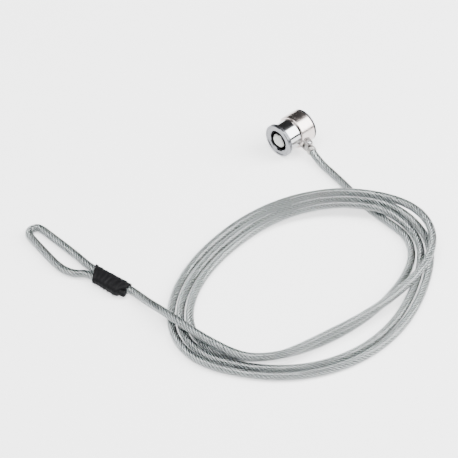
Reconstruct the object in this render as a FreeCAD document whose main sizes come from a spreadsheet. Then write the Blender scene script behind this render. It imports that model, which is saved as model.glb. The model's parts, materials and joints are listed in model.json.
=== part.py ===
import FreeCAD, Part
import Sketcher
import math
import os

from FreeCAD import Placement, Rotation, Vector

# A cable lock for a portable computer: a round lock head with a tubular keyway and a turning T-bar,
# a swivel collar that carries the cable's terminal, and a coated steel cable that lies coiled on the
# table and ends in an eye loop. Millimetres, +Z up, the table at Z = 0, the lock's axis along +X from
# the key face to the T-bar, the origin under the middle of the head.

doc = FreeCAD.newDocument("cable_lock")
sheet = doc.addObject("Spreadsheet::Sheet", "sizes")

SIZES = {
    "head_diameter": 18.5,
    "axis_offset": 2.1,
    "face_position": -12.05,
    "flange_length": 2.1,
    "barrel_length": 8.0,
    "collar_length": 8.9,
    "nose_thickness": 1.1,
    "end_play": 0.1,
    "fit_clearance": 0.05,
    "running_clearance": 0.08,
    "keyway_width": 1.8,
    "bezel_sleeve_wall": 0.9,
    "barrel_wall": 0.9,
    "shoulder_step": 0.4,
    "collar_wall": 1.65,
    "nose_step": 0.25,
    "bezel_sleeve_length": 1.1,
    "lip_width": 1.05,
    "lip_height": 0.3,
    "rim_chamfer": 0.35,
    "ring_groove_width": 0.5,
    "ring_groove_depth": 0.25,
    "notch_width": 1.6,
    "notch_depth": 0.6,
    "post_recess": 0.55,
    "post_notch_depth": 0.7,
    "plug_length": 3.25,
    "shear_gap": 0.1,
    "housing_length": 6.0,
    "pin_bore_margin": 0.05,
    "pin_bore_depth": 5.2,
    "pin_clearance": 0.07,
    "pin_tip_height": 0.35,
    "driver_length": 2.2,
    "spring_wall": 0.3,
    "shaft_diameter": 4.0,
    "tang_width": 2.5,
    "tang_length": 1.5,
    "clip_thickness": 0.6,
    "clip_diameter": 6.8,
    "clip_groove_depth": 0.4,
    "clip_chamber_diameter": 8.4,
    "clip_chamber_length": 1.7,
    "stop_pin_diameter": 1.2,
    "stop_reach": 3.4,
    "stop_pocket_length": 2.0,
    "core_swing": 90.0,
    "stop_margin": 18.0,
    "spigot_diameter": 10.0,
    "spigot_length": 1.5,
    "roll_pin_diameter": 1.5,
    "roll_pin_wall": 0.3,
    "neck_diameter": 2.5,
    "neck_length": 2.25,
    "head_width": 2.6,
    "head_span": 6.4,
    "head_thickness": 1.6,
    "prong_inner": 2.2,
    "prong_outer": 3.3,
    "prong_width": 2.5,
    "prong_length": 1.95,
    "lug_angle": 18.0,
    "lug_station": 2.15,
    "lug_stand": 1.85,
    "ear_radius": 2.0,
    "ear_thickness": 1.3,
    "fork_gap": 3.3,
    "tail_pin_diameter": 1.6,
    "tail_pin_head": 2.6,
    "tail_pin_head_height": 0.35,
    "eye_radius": 1.75,
    "eye_thickness": 3.0,
    "terminal_diameter": 5.4,
    "terminal_shoulder": 0.6,
    "terminal_start": 2.3,
    "terminal_end": 4.9,
    "terminal_lean": 11.0,
    "cable_diameter": 4.2,
    "coil_centre_x": -69.3,
    "coil_centre_y": -77.4,
    "coil_half_length": 67.1,
    "coil_half_width": 39.1,
    "coil_gap": 0.6,
    "coil_fan": 9.9,
    "coil_dip": 9.8,
    "layer_gap": 0.6,
    "ferrule_x": -140.4,
    "ferrule_y": -19.3,
    "ferrule_heading": 98.0,
    "ferrule_length": 13.0,
    "ferrule_wall": 0.3,
    "ferrule_press": 0.25,
    "strand_gap": 0.3,
    "sleeve_wall": 0.4,
    "sleeve_skirt": 3.4,
    "sleeve_lip": 7.5,
    "sleeve_slant": 6.0,
    "cut_end_diameter": 2.6,
    "cut_end_length": 4.2,
}

for row, (alias, value) in enumerate(SIZES.items(), start=1):
    sheet.set(f"A{row}", alias)
    sheet.set(f"B{row}", str(value))
    sheet.setAlias(f"B{row}", alias)
doc.recompute()


class Size:
    """A size that carries its value and the expression that works it out from the sheet."""

    def __init__(self, value, text):
        self.value = value
        self.text = text

    def __add__(self, other):
        other = as_size(other)
        return Size(self.value + other.value, f"({self.text} + {other.text})")

    def __sub__(self, other):
        other = as_size(other)
        return Size(self.value - other.value, f"({self.text} - {other.text})")

    def __mul__(self, other):
        other = as_size(other)
        return Size(self.value * other.value, f"({self.text} * {other.text})")

    def __truediv__(self, other):
        other = as_size(other)
        return Size(self.value / other.value, f"({self.text} / {other.text})")

    def __neg__(self):
        return Size(-self.value, f"(0 - {self.text})")


def as_size(amount):
    if isinstance(amount, Size):
        return amount
    return Size(float(amount), repr(float(amount)))


def cell(alias):
    return Size(float(sheet.get(alias)), f"<<sizes>>.{alias}")


def bind(item, **properties):
    """Bind properties of an object to sizes."""
    for name, amount in properties.items():
        item.setExpression(name, as_size(amount).text)
    return item


def seat(item, x, y, z, rotation=Rotation()):
    """Place an object, with its position bound to sizes."""
    item.Placement = Placement(Vector(as_size(x).value, as_size(y).value, as_size(z).value), rotation)
    item.setExpression("Placement.Base.x", as_size(x).text)
    item.setExpression("Placement.Base.y", as_size(y).text)
    item.setExpression("Placement.Base.z", as_size(z).text)
    return item


ZERO = as_size(0)
FACE = cell("face_position")
AXIS_Y = cell("axis_offset")
ALONG_X = Rotation(Vector(0, 1, 0), 90)
CLEAR = cell("fit_clearance")

# The radii, from the head's rim inwards.
HEAD_R = cell("head_diameter") / 2
JOURNAL_R = HEAD_R - cell("collar_wall")
BARREL_R = JOURNAL_R + cell("shoulder_step")
BORE_R = JOURNAL_R - cell("barrel_wall")
KEYWAY_R = BORE_R - cell("bezel_sleeve_wall")
POST_R = KEYWAY_R - cell("keyway_width")
PIN_CIRCLE_R = POST_R + cell("keyway_width") / 2
PIN_BORE_R = cell("keyway_width") / 2 - cell("pin_bore_margin")
PIN_R = PIN_BORE_R - cell("pin_clearance")
NOSE_R = HEAD_R - cell("nose_step")
LUG_REACH = HEAD_R + cell("lug_stand")
AXIS_Z = HEAD_R
SHAFT_R = cell("shaft_diameter") / 2
SHAFT_BORE_R = SHAFT_R + cell("running_clearance")
CHAMBER_R = cell("clip_chamber_diameter") / 2
SPIGOT_R = cell("spigot_diameter") / 2

# Stations along the lock's axis, measured from the front of the key face.
BARREL_FRONT = cell("flange_length")
SLEEVE_BACK = BARREL_FRONT + cell("bezel_sleeve_length")
SHOULDER = BARREL_FRONT + cell("barrel_length")
COLLAR_FRONT = SHOULDER + cell("end_play")
COLLAR_BACK = COLLAR_FRONT + cell("collar_length")
NOSE_BACK = COLLAR_BACK + cell("end_play")
NOSE_FACE = NOSE_BACK + cell("nose_thickness")
PLUG_FRONT = SLEEVE_BACK + CLEAR
PLUG_BACK = PLUG_FRONT + cell("plug_length")
HOUSING_FRONT = PLUG_BACK + cell("shear_gap")
HOUSING_BACK = HOUSING_FRONT + cell("housing_length")
CHAMBER_FRONT = HOUSING_BACK + CLEAR
CHAMBER_BACK = CHAMBER_FRONT + cell("clip_chamber_length")
SPIGOT_FRONT = NOSE_BACK - cell("spigot_length")
HEAD_FRONT = NOSE_FACE + cell("neck_length")

PIN_COUNT = 7
PIN_PITCH = 45.0
PIN_CUTS = [1.3, 0.9, 0.5, 1.1, 0.7, 1.2, 0.8]


def station(distance):
    """The row's X of a distance behind the key face."""
    return FACE + distance


def on_axis(item, distance, rotation=Rotation()):
    """Seat an object on the lock's axis, a distance behind the key face."""
    return seat(item, station(distance), AXIS_Y, AXIS_Z, rotation)


def origin_part(body, role):
    for feature in body.Origin.OriginFeatures:
        if feature.Role == role:
            return feature
    raise ValueError(role)


def outline(body, name, plane, corners, offset=ZERO):
    """A closed sketch through corners, each held by its two distances from the origin."""
    sketch = body.newObject("Sketcher::SketchObject", name)
    sketch.AttachmentSupport = [(origin_part(body, plane), "")]
    sketch.MapMode = "FlatFace"
    sketch.AttachmentOffset = Placement(Vector(0, 0, offset.value), Rotation())
    sketch.setExpression("AttachmentOffset.Base.z", offset.text)
    corners = [(as_size(across), as_size(up)) for across, up in corners]
    points = [Vector(across.value, up.value, 0) for across, up in corners]
    for index, point in enumerate(points):
        sketch.addGeometry(Part.LineSegment(point, points[(index + 1) % len(points)]), False)
    for index in range(len(points)):
        sketch.addConstraint(Sketcher.Constraint("Coincident", index, 2, (index + 1) % len(points), 1))
    for index, (across, up) in enumerate(corners):
        for kind, amount in (("DistanceX", across), ("DistanceY", up)):
            number = sketch.addConstraint(Sketcher.Constraint(kind, -1, 1, index, 1, amount.value))
            sketch.setExpression(f"Constraints[{number}]", amount.text)
    return sketch


def ring_of_holes(body, name, radius, distance, start, depth):
    """Pin bores on a circle round the lock's axis, all but the one that the notch takes."""
    sketch = body.newObject("Sketcher::SketchObject", f"{name}_circle")
    sketch.AttachmentSupport = [(origin_part(body, "YZ_Plane"), "")]
    sketch.MapMode = "FlatFace"
    sketch.AttachmentOffset = Placement(Vector(0, 0, start.value), Rotation())
    sketch.setExpression("AttachmentOffset.Base.z", start.text)
    first = math.radians(PIN_PITCH - 90)
    across = distance * math.cos(first)
    up = distance * math.sin(first)
    centre = Vector(across.value, up.value, 0)
    sketch.addGeometry(Part.Circle(centre, Vector(0, 0, 1), radius.value), False)
    for kind, amount in (("DistanceX", across), ("DistanceY", up)):
        number = sketch.addConstraint(Sketcher.Constraint(kind, -1, 1, 0, 3, amount.value))
        sketch.setExpression(f"Constraints[{number}]", amount.text)
    number = sketch.addConstraint(Sketcher.Constraint("Radius", 0, radius.value))
    sketch.setExpression(f"Constraints[{number}]", radius.text)
    pocket = body.newObject("PartDesign::Pocket", f"{name}_bore")
    pocket.Profile = sketch
    pocket.Reversed = True
    bind(pocket, Length=depth)
    pattern = body.newObject("PartDesign::PolarPattern", f"{name}_ring")
    pattern.Originals = [pocket]
    pattern.Axis = (origin_part(body, "X_Axis"), [""])
    pattern.Angle = PIN_PITCH * (PIN_COUNT - 1)
    pattern.Occurrences = PIN_COUNT
    body.Tip = pattern


def turned(name, corners):
    """A body turned about the lock's axis from a profile of (distance behind the face, radius)."""
    body = doc.addObject("PartDesign::Body", f"{name}_turned")
    revolution = body.newObject("PartDesign::Revolution", f"{name}_revolution")
    revolution.Profile = outline(body, f"{name}_profile", "XY_Plane", corners)
    revolution.ReferenceAxis = (revolution.Profile[0], ["H_Axis"])
    revolution.Angle = 360
    return body


def milled(body, name, plane, corners, offset, depth):
    """Cut a straight pocket from a body, towards the sketch plane's positive side."""
    pocket = body.newObject("PartDesign::Pocket", name)
    pocket.Profile = outline(body, f"{name}_sketch", plane, corners, offset)
    pocket.Reversed = True
    bind(pocket, Length=depth)


def rod(name, radius, length, distance, rotation=ALONG_X):
    """A round bar on the lock's axis that starts a distance behind the key face."""
    bar = doc.addObject("Part::Cylinder", name)
    bind(bar, Radius=radius, Height=length)
    return on_axis(bar, distance, rotation)


def block(name, lengths, x, y, z, rotation=Rotation()):
    """A box of three lengths with its corner at a place."""
    box = doc.addObject("Part::Box", name)
    bind(box, Length=lengths[0], Width=lengths[1], Height=lengths[2])
    return seat(box, x, y, z, rotation)


def joined(name, shapes):
    fuse = doc.addObject("Part::MultiFuse", name)
    fuse.Shapes = shapes
    return fuse


def shared(name, base, tool):
    common = doc.addObject("Part::Common", name)
    common.Base = base
    common.Tool = tool
    return common


def cut(name, base, tools):
    result = doc.addObject("Part::Cut", name)
    result.Base = base
    result.Tool = tools[0] if len(tools) == 1 else joined(f"{name}_tools", tools)
    return result


nodes = {}


def node(name, item):
    item.Label = name
    nodes[name] = item


# The chromed flange round the keyway, with a raised lip, two grooves round its rim, a sleeve that sits
# in the barrel and keeps the plug in, and the notch that the key's rib enters, at six o'clock.
def front_bezel():
    lip = cell("lip_height")
    groove = cell("ring_groove_width")
    floor = HEAD_R - cell("ring_groove_depth")
    chamfer = cell("rim_chamfer")
    profile = [
        (SLEEVE_BACK, KEYWAY_R),
        (lip + chamfer, KEYWAY_R),
        (lip, KEYWAY_R + chamfer),
        (lip, HEAD_R - chamfer - cell("lip_width")),
        (ZERO, HEAD_R - chamfer - cell("lip_width") + lip),
        (ZERO, HEAD_R - chamfer),
        (chamfer, HEAD_R),
    ]
    first = BARREL_FRONT / 2 - groove
    for start in (first, first + groove * 1.5):
        profile += [
            (start, HEAD_R),
            (start + groove * 0.3, floor),
            (start + groove * 0.7, floor),
            (start + groove, HEAD_R),
        ]
    profile += [
        (BARREL_FRONT - chamfer * 0.5, HEAD_R),
        (BARREL_FRONT, HEAD_R - chamfer * 0.5),
        (BARREL_FRONT, BORE_R - CLEAR),
        (SLEEVE_BACK, BORE_R - CLEAR),
    ]
    body = turned("front_bezel", profile)
    half = cell("notch_width") / 2
    low = -(KEYWAY_R + cell("notch_depth"))
    corners = [(-half, low), (half, low), (half, -KEYWAY_R * 0.9), (-half, -KEYWAY_R * 0.9)]
    milled(body, "front_bezel_notch", "YZ_Plane", corners, ZERO, SLEEVE_BACK)
    node("front_bezel", on_axis(body, ZERO))


# The chromed barrel: a plain band that shows between the flange and the collar, and a journal that
# the collar turns on, bored for the plug and the pin housing, with a chamber for the shaft's clip, a
# fan-shaped pocket that limits the stop pin and a recess for the nose plate's spigot.
def lock_barrel():
    chamfer = cell("rim_chamfer") * 0.6
    body = turned("lock_barrel", [
        (BARREL_FRONT, BORE_R),
        (BARREL_FRONT, BARREL_R - chamfer),
        (BARREL_FRONT + chamfer, BARREL_R),
        (SHOULDER - chamfer, BARREL_R),
        (SHOULDER, BARREL_R - chamfer),
        (SHOULDER, JOURNAL_R),
        (NOSE_BACK, JOURNAL_R),
        (NOSE_BACK, SPIGOT_R + CLEAR),
        (SPIGOT_FRONT - CLEAR, SPIGOT_R + CLEAR),
        (SPIGOT_FRONT - CLEAR, SHAFT_BORE_R),
        (CHAMBER_BACK, SHAFT_BORE_R),
        (CHAMBER_BACK, CHAMBER_R),
        (CHAMBER_FRONT, CHAMBER_R),
        (CHAMBER_FRONT, BORE_R),
    ])
    on_axis(body, ZERO)
    fan = doc.addObject("Part::Cylinder", "stop_pocket")
    bind(fan, Radius=cell("stop_reach") + cell("running_clearance") * 2)
    bind(fan, Height=cell("stop_pocket_length"))
    bind(fan, Angle=cell("core_swing") + cell("stop_margin") * 2)
    start = Rotation(Vector(0, 0, 1), -cell("stop_margin").value)
    on_axis(fan, CHAMBER_BACK, ALONG_X.multiply(start))
    node("lock_barrel", cut("lock_barrel_cut", body, [fan, roll_pin_hole("barrel_pin_hole")]))


# The fixed housing behind the plug: blind bores for the driver pins and their springs.
def pin_housing():
    body = turned("pin_housing", [
        (HOUSING_FRONT, SHAFT_BORE_R),
        (HOUSING_FRONT, BORE_R - CLEAR),
        (HOUSING_BACK, BORE_R - CLEAR),
        (HOUSING_BACK, SHAFT_BORE_R),
    ])
    ring_of_holes(body, "housing", PIN_BORE_R, PIN_CIRCLE_R, HOUSING_FRONT, cell("pin_bore_depth"))
    on_axis(body, ZERO)
    node("pin_housing", cut("pin_housing_cut", body, [roll_pin_hole("housing_pin_hole")]))


ROLL_PIN_STATION = (COLLAR_FRONT + HOUSING_BACK) / 2
ROLL_PIN_FOOT = SHAFT_BORE_R + cell("roll_pin_diameter")


def roll_pin_bar(name, radius, foot, top):
    """A radial bar below the lock's axis, at the notch's angle, clear of the pin bores."""
    bar = doc.addObject("Part::Cylinder", name)
    bind(bar, Radius=radius, Height=top - foot)
    down = Rotation(Vector(1, 0, 0), 180)
    return seat(bar, station(ROLL_PIN_STATION), AXIS_Y, AXIS_Z - foot, down)


def roll_pin_hole(name):
    return roll_pin_bar(name, cell("roll_pin_diameter") / 2 + CLEAR, ROLL_PIN_FOOT - CLEAR, HEAD_R)


# The spring pin that locks the housing in the barrel, hidden under the collar.
def roll_pin():
    top = JOURNAL_R - CLEAR
    radius = cell("roll_pin_diameter") / 2
    outside = roll_pin_bar("roll_pin_outside", radius, ROLL_PIN_FOOT, top)
    inside = roll_pin_bar("roll_pin_inside", radius - cell("roll_pin_wall"), ROLL_PIN_FOOT - 1, top + 1)
    node("roll_pin", cut("roll_pin_tube", outside, [inside]))


# The nose plate that bears on the computer's case: a disc with a spigot and two guard prongs that
# fill the ends of the security slot beside the T-bar's neck.
def nose_plate():
    chamfer = cell("rim_chamfer") * 0.6
    body = turned("nose_plate", [
        (SPIGOT_FRONT, SHAFT_BORE_R),
        (SPIGOT_FRONT, SPIGOT_R),
        (NOSE_BACK, SPIGOT_R),
        (NOSE_BACK, NOSE_R),
        (NOSE_FACE - chamfer, NOSE_R),
        (NOSE_FACE, NOSE_R - chamfer),
        (NOSE_FACE, SHAFT_BORE_R),
    ])
    on_axis(body, ZERO)
    tall = cell("prong_width")
    root = NOSE_FACE - cell("nose_thickness") / 2
    length = cell("prong_length") + cell("nose_thickness") / 2
    prongs = []
    for side, low in (("right", -cell("prong_outer")), ("left", cell("prong_inner"))):
        width = cell("prong_outer") - cell("prong_inner")
        slab = block(f"prong_{side}_slab", (length, width, tall), station(root), AXIS_Y + low,
                     AXIS_Z - tall / 2)
        round_end = rod(f"prong_{side}_round", cell("prong_outer"), length, root)
        prongs.append(shared(f"prong_{side}", slab, round_end))
    node("nose_plate", joined("nose_plate_joined", [body] + prongs))


# The plug that the tubular key turns: a post inside the annular keyway, a disc bored for the key
# pins, and a square socket behind for the shaft's tang.
def key_plug():
    chamfer = cell("rim_chamfer")
    body = turned("key_plug", [
        (cell("post_recess") + chamfer, ZERO),
        (cell("post_recess"), chamfer),
        (cell("post_recess"), POST_R - chamfer),
        (cell("post_recess") + chamfer, POST_R),
        (PLUG_FRONT, POST_R),
        (PLUG_FRONT, BORE_R - cell("running_clearance")),
        (PLUG_BACK, BORE_R - cell("running_clearance")),
        (PLUG_BACK, ZERO),
    ])
    half = cell("notch_width") / 2 - CLEAR
    low = -(POST_R + CLEAR)
    high = -(POST_R - cell("post_notch_depth"))
    corners = [(-half, low), (half, low), (half, high), (-half, high)]
    milled(body, "key_plug_notch", "YZ_Plane", corners, ZERO, PLUG_FRONT)
    half = cell("tang_width") / 2 + CLEAR
    corners = [(-half, -half), (half, -half), (half, half), (-half, half)]
    depth = cell("tang_length") + CLEAR
    milled(body, "key_plug_socket", "YZ_Plane", corners, PLUG_BACK - depth, depth)
    ring_of_holes(body, "key_plug", PIN_BORE_R, PIN_CIRCLE_R, PLUG_FRONT, cell("plug_length"))
    node("key_plug", on_axis(body, ZERO))


def on_circle(item, number, distance):
    """Seat an object on the pin circle, at a numbered pin's angle from the notch at six o'clock."""
    angle = math.radians(PIN_PITCH * number - 90)
    y = AXIS_Y + PIN_CIRCLE_R * math.cos(angle)
    z = AXIS_Z + PIN_CIRCLE_R * math.sin(angle)
    return seat(item, station(distance), y, z, ALONG_X)


def pin_bar(name, number, radius, length, distance):
    """A small bar along the lock's axis on the pin circle."""
    bar = doc.addObject("Part::Cylinder", name)
    bind(bar, Radius=radius, Height=length)
    return on_circle(bar, number, distance)


# Seven stacks round the post: a key pin with a tapered tip that shows in the keyway, and behind the
# shear line a driver pin and its spring.
def pin_stacks():
    tip = cell("pin_tip_height")
    for number, depth in enumerate(PIN_CUTS, start=1):
        cone = doc.addObject("Part::Cone", f"key_pin_{number}_tip")
        bind(cone, Radius1=PIN_R * 0.7, Radius2=PIN_R, Height=tip)
        on_circle(cone, number, PLUG_FRONT - tip)
        shank = pin_bar(f"key_pin_{number}_shank", number, PIN_R, cell("plug_length") - depth, PLUG_FRONT)
        node(f"key_pin_{number}", joined(f"key_pin_{number}_joined", [cone, shank]))
        driver = pin_bar(f"driver_{number}", number, PIN_R, cell("driver_length"), HOUSING_FRONT)
        node(f"driver_pin_{number}", driver)
        behind = HOUSING_FRONT + cell("driver_length") + CLEAR
        length = cell("pin_bore_depth") - cell("driver_length") - CLEAR * 2
        outside = pin_bar(f"spring_{number}_outside", number, PIN_R, length, behind)
        inside = pin_bar(f"spring_{number}_inside", number, PIN_R - cell("spring_wall"), length, behind)
        node(f"pin_spring_{number}", cut(f"spring_{number}", outside, [inside]))


# The T-bar and its shaft in one piece: a square tang in the plug, a groove for the clip, a cross hole
# for the stop pin, a thin neck that passes the security slot and the rounded bar behind the case.
def t_bar():
    tang = cell("tang_width")
    start = PLUG_BACK - cell("tang_length")
    square = block("t_bar_tang", (cell("tang_length") + 1, tang, tang), station(start), AXIS_Y - tang / 2,
                   AXIS_Z - tang / 2)
    shaft = rod("t_bar_shaft", SHAFT_R, NOSE_FACE - PLUG_BACK - CLEAR, PLUG_BACK + CLEAR)
    neck = rod("t_bar_neck", cell("neck_diameter") / 2, cell("neck_length") + 2, NOSE_FACE - 1)
    bar = block("t_bar_bar", (cell("head_thickness"), cell("head_width"), cell("head_span")),
                station(HEAD_FRONT), AXIS_Y - cell("head_width") / 2, AXIS_Z - cell("head_span") / 2)
    ends = rod("t_bar_ends", cell("head_span") / 2, cell("head_thickness"), HEAD_FRONT)
    solid = joined("t_bar_joined", [square, shaft, neck, shared("t_bar_head", bar, ends)])
    width = cell("clip_thickness") + CLEAR
    outer = rod("clip_groove_outer", SHAFT_R + 1, width, CLIP_FRONT)
    inner = rod("clip_groove_inner", SHAFT_R - cell("clip_groove_depth"), width, CLIP_FRONT)
    groove = cut("clip_groove", outer, [inner])
    hole = stop_bar("stop_hole", cell("stop_pin_diameter") / 2 + CLEAR, SHAFT_R + 1, SHAFT_R * 2 + 2)
    node("t_bar", cut("t_bar_cut", solid, [groove, hole]))


CLIP_FRONT = CHAMBER_FRONT + CLEAR


# The spring clip that keeps the shaft from being pulled out through the nose.
def core_clip():
    disc = rod("clip_disc", cell("clip_diameter") / 2, cell("clip_thickness"), CLIP_FRONT)
    seat_r = SHAFT_R - cell("clip_groove_depth") + CLEAR
    hole = rod("clip_hole", seat_r, cell("clip_thickness"), CLIP_FRONT)
    mouth = block("clip_mouth", (cell("clip_thickness"), seat_r * 1.7, cell("clip_diameter")),
                  station(CLIP_FRONT), AXIS_Y - seat_r * 0.85, AXIS_Z)
    node("core_clip", cut("clip_cut", disc, [hole, mouth]))


STOP_STATION = CHAMBER_BACK + cell("stop_pocket_length") / 2


def stop_bar(name, radius, above, length):
    """A bar across the shaft, from above the axis downwards."""
    bar = doc.addObject("Part::Cylinder", name)
    bind(bar, Radius=radius, Height=length)
    down = Rotation(Vector(1, 0, 0), 180)
    return seat(bar, station(STOP_STATION), AXIS_Y, AXIS_Z + above, down)


# The stop pin that rides in the barrel's fan-shaped pocket and lets the core turn a quarter turn.
def stop_pin():
    above = SHAFT_R - cell("running_clearance")
    pin = stop_bar("stop_pin_bar", cell("stop_pin_diameter") / 2, above, cell("stop_reach") + above)
    node("stop_pin", pin)


LUG_CENTRE = COLLAR_FRONT + cell("lug_station")
LUG_TURN = Rotation(Vector(1, 0, 0), cell("lug_angle").value)
LUG_OUT = LUG_TURN.multVec(Vector(0, -1, 0))


def lug_cylinder(name, radius, length):
    """A bar centred on the tail pin's axis, in the collar's own frame."""
    bar = doc.addObject("Part::Cylinder", name)
    bind(bar, Radius=radius, Height=length)
    return seat(bar, LUG_CENTRE, -LUG_REACH, -length / 2)


# The polished collar that swivels on the barrel, with a forked lug for the cable's terminal.
def swivel_collar():
    bore = JOURNAL_R + cell("running_clearance")
    chamfer = cell("rim_chamfer")
    body = turned("swivel_collar", [
        (COLLAR_FRONT, bore),
        (COLLAR_FRONT, HEAD_R - chamfer),
        (COLLAR_FRONT + chamfer, HEAD_R),
        (COLLAR_BACK - chamfer, HEAD_R),
        (COLLAR_BACK, HEAD_R - chamfer),
        (COLLAR_BACK, bore),
    ])
    width = cell("ear_radius") * 2
    height = cell("fork_gap") + cell("ear_thickness") * 2
    inside = (bore + HEAD_R) / 2
    root = block("lug_root", (width, LUG_REACH - inside, height), LUG_CENTRE - width / 2,
                 -LUG_REACH, -height / 2)
    tip = lug_cylinder("lug_tip", cell("ear_radius"), height)
    solid = joined("collar_joined", [body, root, tip])
    gap = cell("fork_gap")
    slot = block("fork_slot", (width * 2, width * 2, gap), LUG_CENTRE - width,
                 -(HEAD_R + width * 2), -gap / 2)
    hole = lug_cylinder("tail_pin_hole", cell("tail_pin_diameter") / 2 + CLEAR, height * 2)
    collar = cut("collar_cut", solid, [slot, hole])
    node("swivel_collar", on_axis(collar, ZERO, LUG_TURN))


# The rivet that the terminal swings on, with a low head outside each ear.
def tail_pin():
    height = cell("fork_gap") + cell("ear_thickness") * 2 + CLEAR * 2
    head = cell("tail_pin_head_height")
    shank = lug_cylinder("tail_pin_shank", cell("tail_pin_diameter") / 2, height + head)
    heads = []
    for side, base in (("top", height / 2), ("foot", -(height / 2) - head)):
        disc = doc.addObject("Part::Cylinder", f"tail_pin_{side}")
        bind(disc, Radius=cell("tail_pin_head") / 2, Height=head)
        heads.append(seat(disc, LUG_CENTRE, -LUG_REACH, base))
    node("tail_pin", on_axis(joined("tail_pin_joined", [shank] + heads), ZERO, LUG_TURN))


TERMINAL_TURN = LUG_TURN.multiply(Rotation(Vector(0, 0, 1), -cell("terminal_lean").value))
TERMINAL_WAY = TERMINAL_TURN.multVec(Vector(0, -1, 0))
AXIS_POINT = Vector(FACE.value, AXIS_Y.value, AXIS_Z.value)
PIN_CENTRE = AXIS_POINT + Vector(LUG_CENTRE.value, 0, 0) + LUG_OUT * LUG_REACH.value


SHOULDER_SHARE = 0.8


# The terminal crimped on the cable: a flat eye in the fork, a tapered shoulder and a round sleeve.
def cable_terminal():
    thick = cell("eye_thickness")
    flat = doc.addObject("Part::Cylinder", "eye_disc")
    bind(flat, Radius=cell("eye_radius"), Height=thick)
    seat(flat, ZERO, ZERO, -thick / 2)
    shoulder_end = cell("terminal_start") + cell("terminal_shoulder")
    web = block("eye_web", (cell("eye_radius") * 2, shoulder_end, thick), -cell("eye_radius"),
                -shoulder_end, -thick / 2)
    along = Rotation(Vector(1, 0, 0), 90)
    shoulder = doc.addObject("Part::Cone", "terminal_cone")
    radius = cell("terminal_diameter") / 2
    bind(shoulder, Radius1=radius * SHOULDER_SHARE, Radius2=radius, Height=cell("terminal_shoulder"))
    seat(shoulder, ZERO, -cell("terminal_start"), ZERO, along)
    barrel = doc.addObject("Part::Cylinder", "terminal_barrel")
    bind(barrel, Radius=radius, Height=cell("terminal_end") - shoulder_end)
    seat(barrel, ZERO, -shoulder_end, ZERO, along)
    hole = doc.addObject("Part::Cylinder", "eye_hole")
    bind(hole, Radius=cell("tail_pin_diameter") / 2 + cell("running_clearance"), Height=thick * 2)
    seat(hole, ZERO, ZERO, -thick)
    terminal = cut("terminal_cut", joined("terminal_joined", [flat, web, shoulder, barrel]), [hole])
    terminal.Placement = Placement(PIN_CENTRE, TERMINAL_TURN)
    node("cable_terminal", terminal)


# The cable's route. Free stretches are straight runs joined by arcs, the coil is worked out.
CABLE_R = cell("cable_diameter").value / 2
LAYER = CABLE_R * 2 + cell("layer_gap").value
ARC_SHARE = 0.45


def arc_edge(start, corner, end):
    """The arc that leaves start and reaches end along the two lines to the corner."""
    middle = (start + end) * 0.5
    half_chord = (end - start).Length / 2
    lean = math.acos(min(1.0, half_chord / (corner - start).Length))
    sagitta = half_chord * math.tan(lean / 2)
    crown = middle + (corner - middle).normalize() * sagitta
    return Part.Arc(start, crown, end).toShape()


def rounded_path(points, name):
    """Straight runs through points, with each corner rounded as widely as its two runs allow."""
    edges = []
    radii = []
    here = points[0]
    for before, corner, after in zip(points, points[1:], points[2:]):
        way_in = (corner - before).normalize()
        way_out = (after - corner).normalize()
        cut_back = ARC_SHARE * min((corner - before).Length, (after - corner).Length)
        half_turn = way_in.getAngle(way_out) / 2
        radii.append(round(cut_back / math.tan(half_turn), 1))
        start = corner - way_in * cut_back
        end = corner + way_out * cut_back
        edges.append(Part.LineSegment(here, start).toShape())
        edges.append(arc_edge(start, corner, end))
        here = end
    edges.append(Part.LineSegment(here, points[-1]).toShape())
    print(name, "arc radii", radii)
    return Part.Wire(edges)


def tube(name, path, way):
    """A round tube of the cable's size along a path that starts in a given direction."""
    ring = Part.Wire([Part.makeCircle(CABLE_R, path.OrderedVertexes[0].Point, way)])
    solid = path.makePipeShell([ring], True, False)
    share = solid.Volume / (math.pi * CABLE_R ** 2 * path.Length)
    print(name, "length", round(path.Length, 1), "volume over section times length", round(share, 4))
    feature = doc.addObject("Part::Feature", f"{name}_tube")
    feature.Shape = solid
    node(name, feature)
    return path.Length


# The coil is an oval of three turns side by side, counted clockwise from its right end. Each turn rises
# over the lead that passes below it and dips towards the middle there. The second and third turns fan
# out at the lower right, and the cable then draws in above them on the second layer.
COIL_FIRST = 0.03
COIL_LAST = 3.3
COIL_STEPS = 88
CROSSING = 0.925
CROSSING_TOP = 0.018
RISE_REACH = 0.2
FALL_REACH = 0.13
DIP_MIDDLE = 0.949
DIP_REACH = 0.2
FAN_MIDDLE = 0.285
FAN_REACH = 0.17
DRAW_FROM = 3.0
DRAW_OVER = 0.3
DRAW_TO = 0.45


def swell(away, reach):
    """A smooth swell: 1 in its middle and 0 from its reach on."""
    return 0.5 + 0.5 * math.cos(math.pi * min(1.0, away / reach))


def coil_rise(turns):
    """How far up the second layer the coil has climbed, from 0 to 1."""
    rise = 0.0
    for middle in (CROSSING, CROSSING + 1, CROSSING + 2):
        past = turns - middle
        reach = FALL_REACH if past > 0 else RISE_REACH
        rise = max(rise, swell(max(0.0, abs(past) - CROSSING_TOP), reach))
    return 1.0 if turns > CROSSING + 2 else rise


def coil_outward(turns):
    """How far outside the first turn's oval the coil lies."""
    spread = turns
    if turns > DRAW_FROM:
        spread = DRAW_TO + (DRAW_FROM - DRAW_TO) * swell(turns - DRAW_FROM, DRAW_OVER)
    outward = (CABLE_R * 2 + cell("coil_gap").value) * spread
    if 1 < turns < DRAW_FROM:
        outward += cell("coil_fan").value * swell(abs(turns % 1 - FAN_MIDDLE), FAN_REACH)
    return outward - cell("coil_dip").value * swell(abs((turns - DIP_MIDDLE + 0.5) % 1 - 0.5), DIP_REACH)


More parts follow.
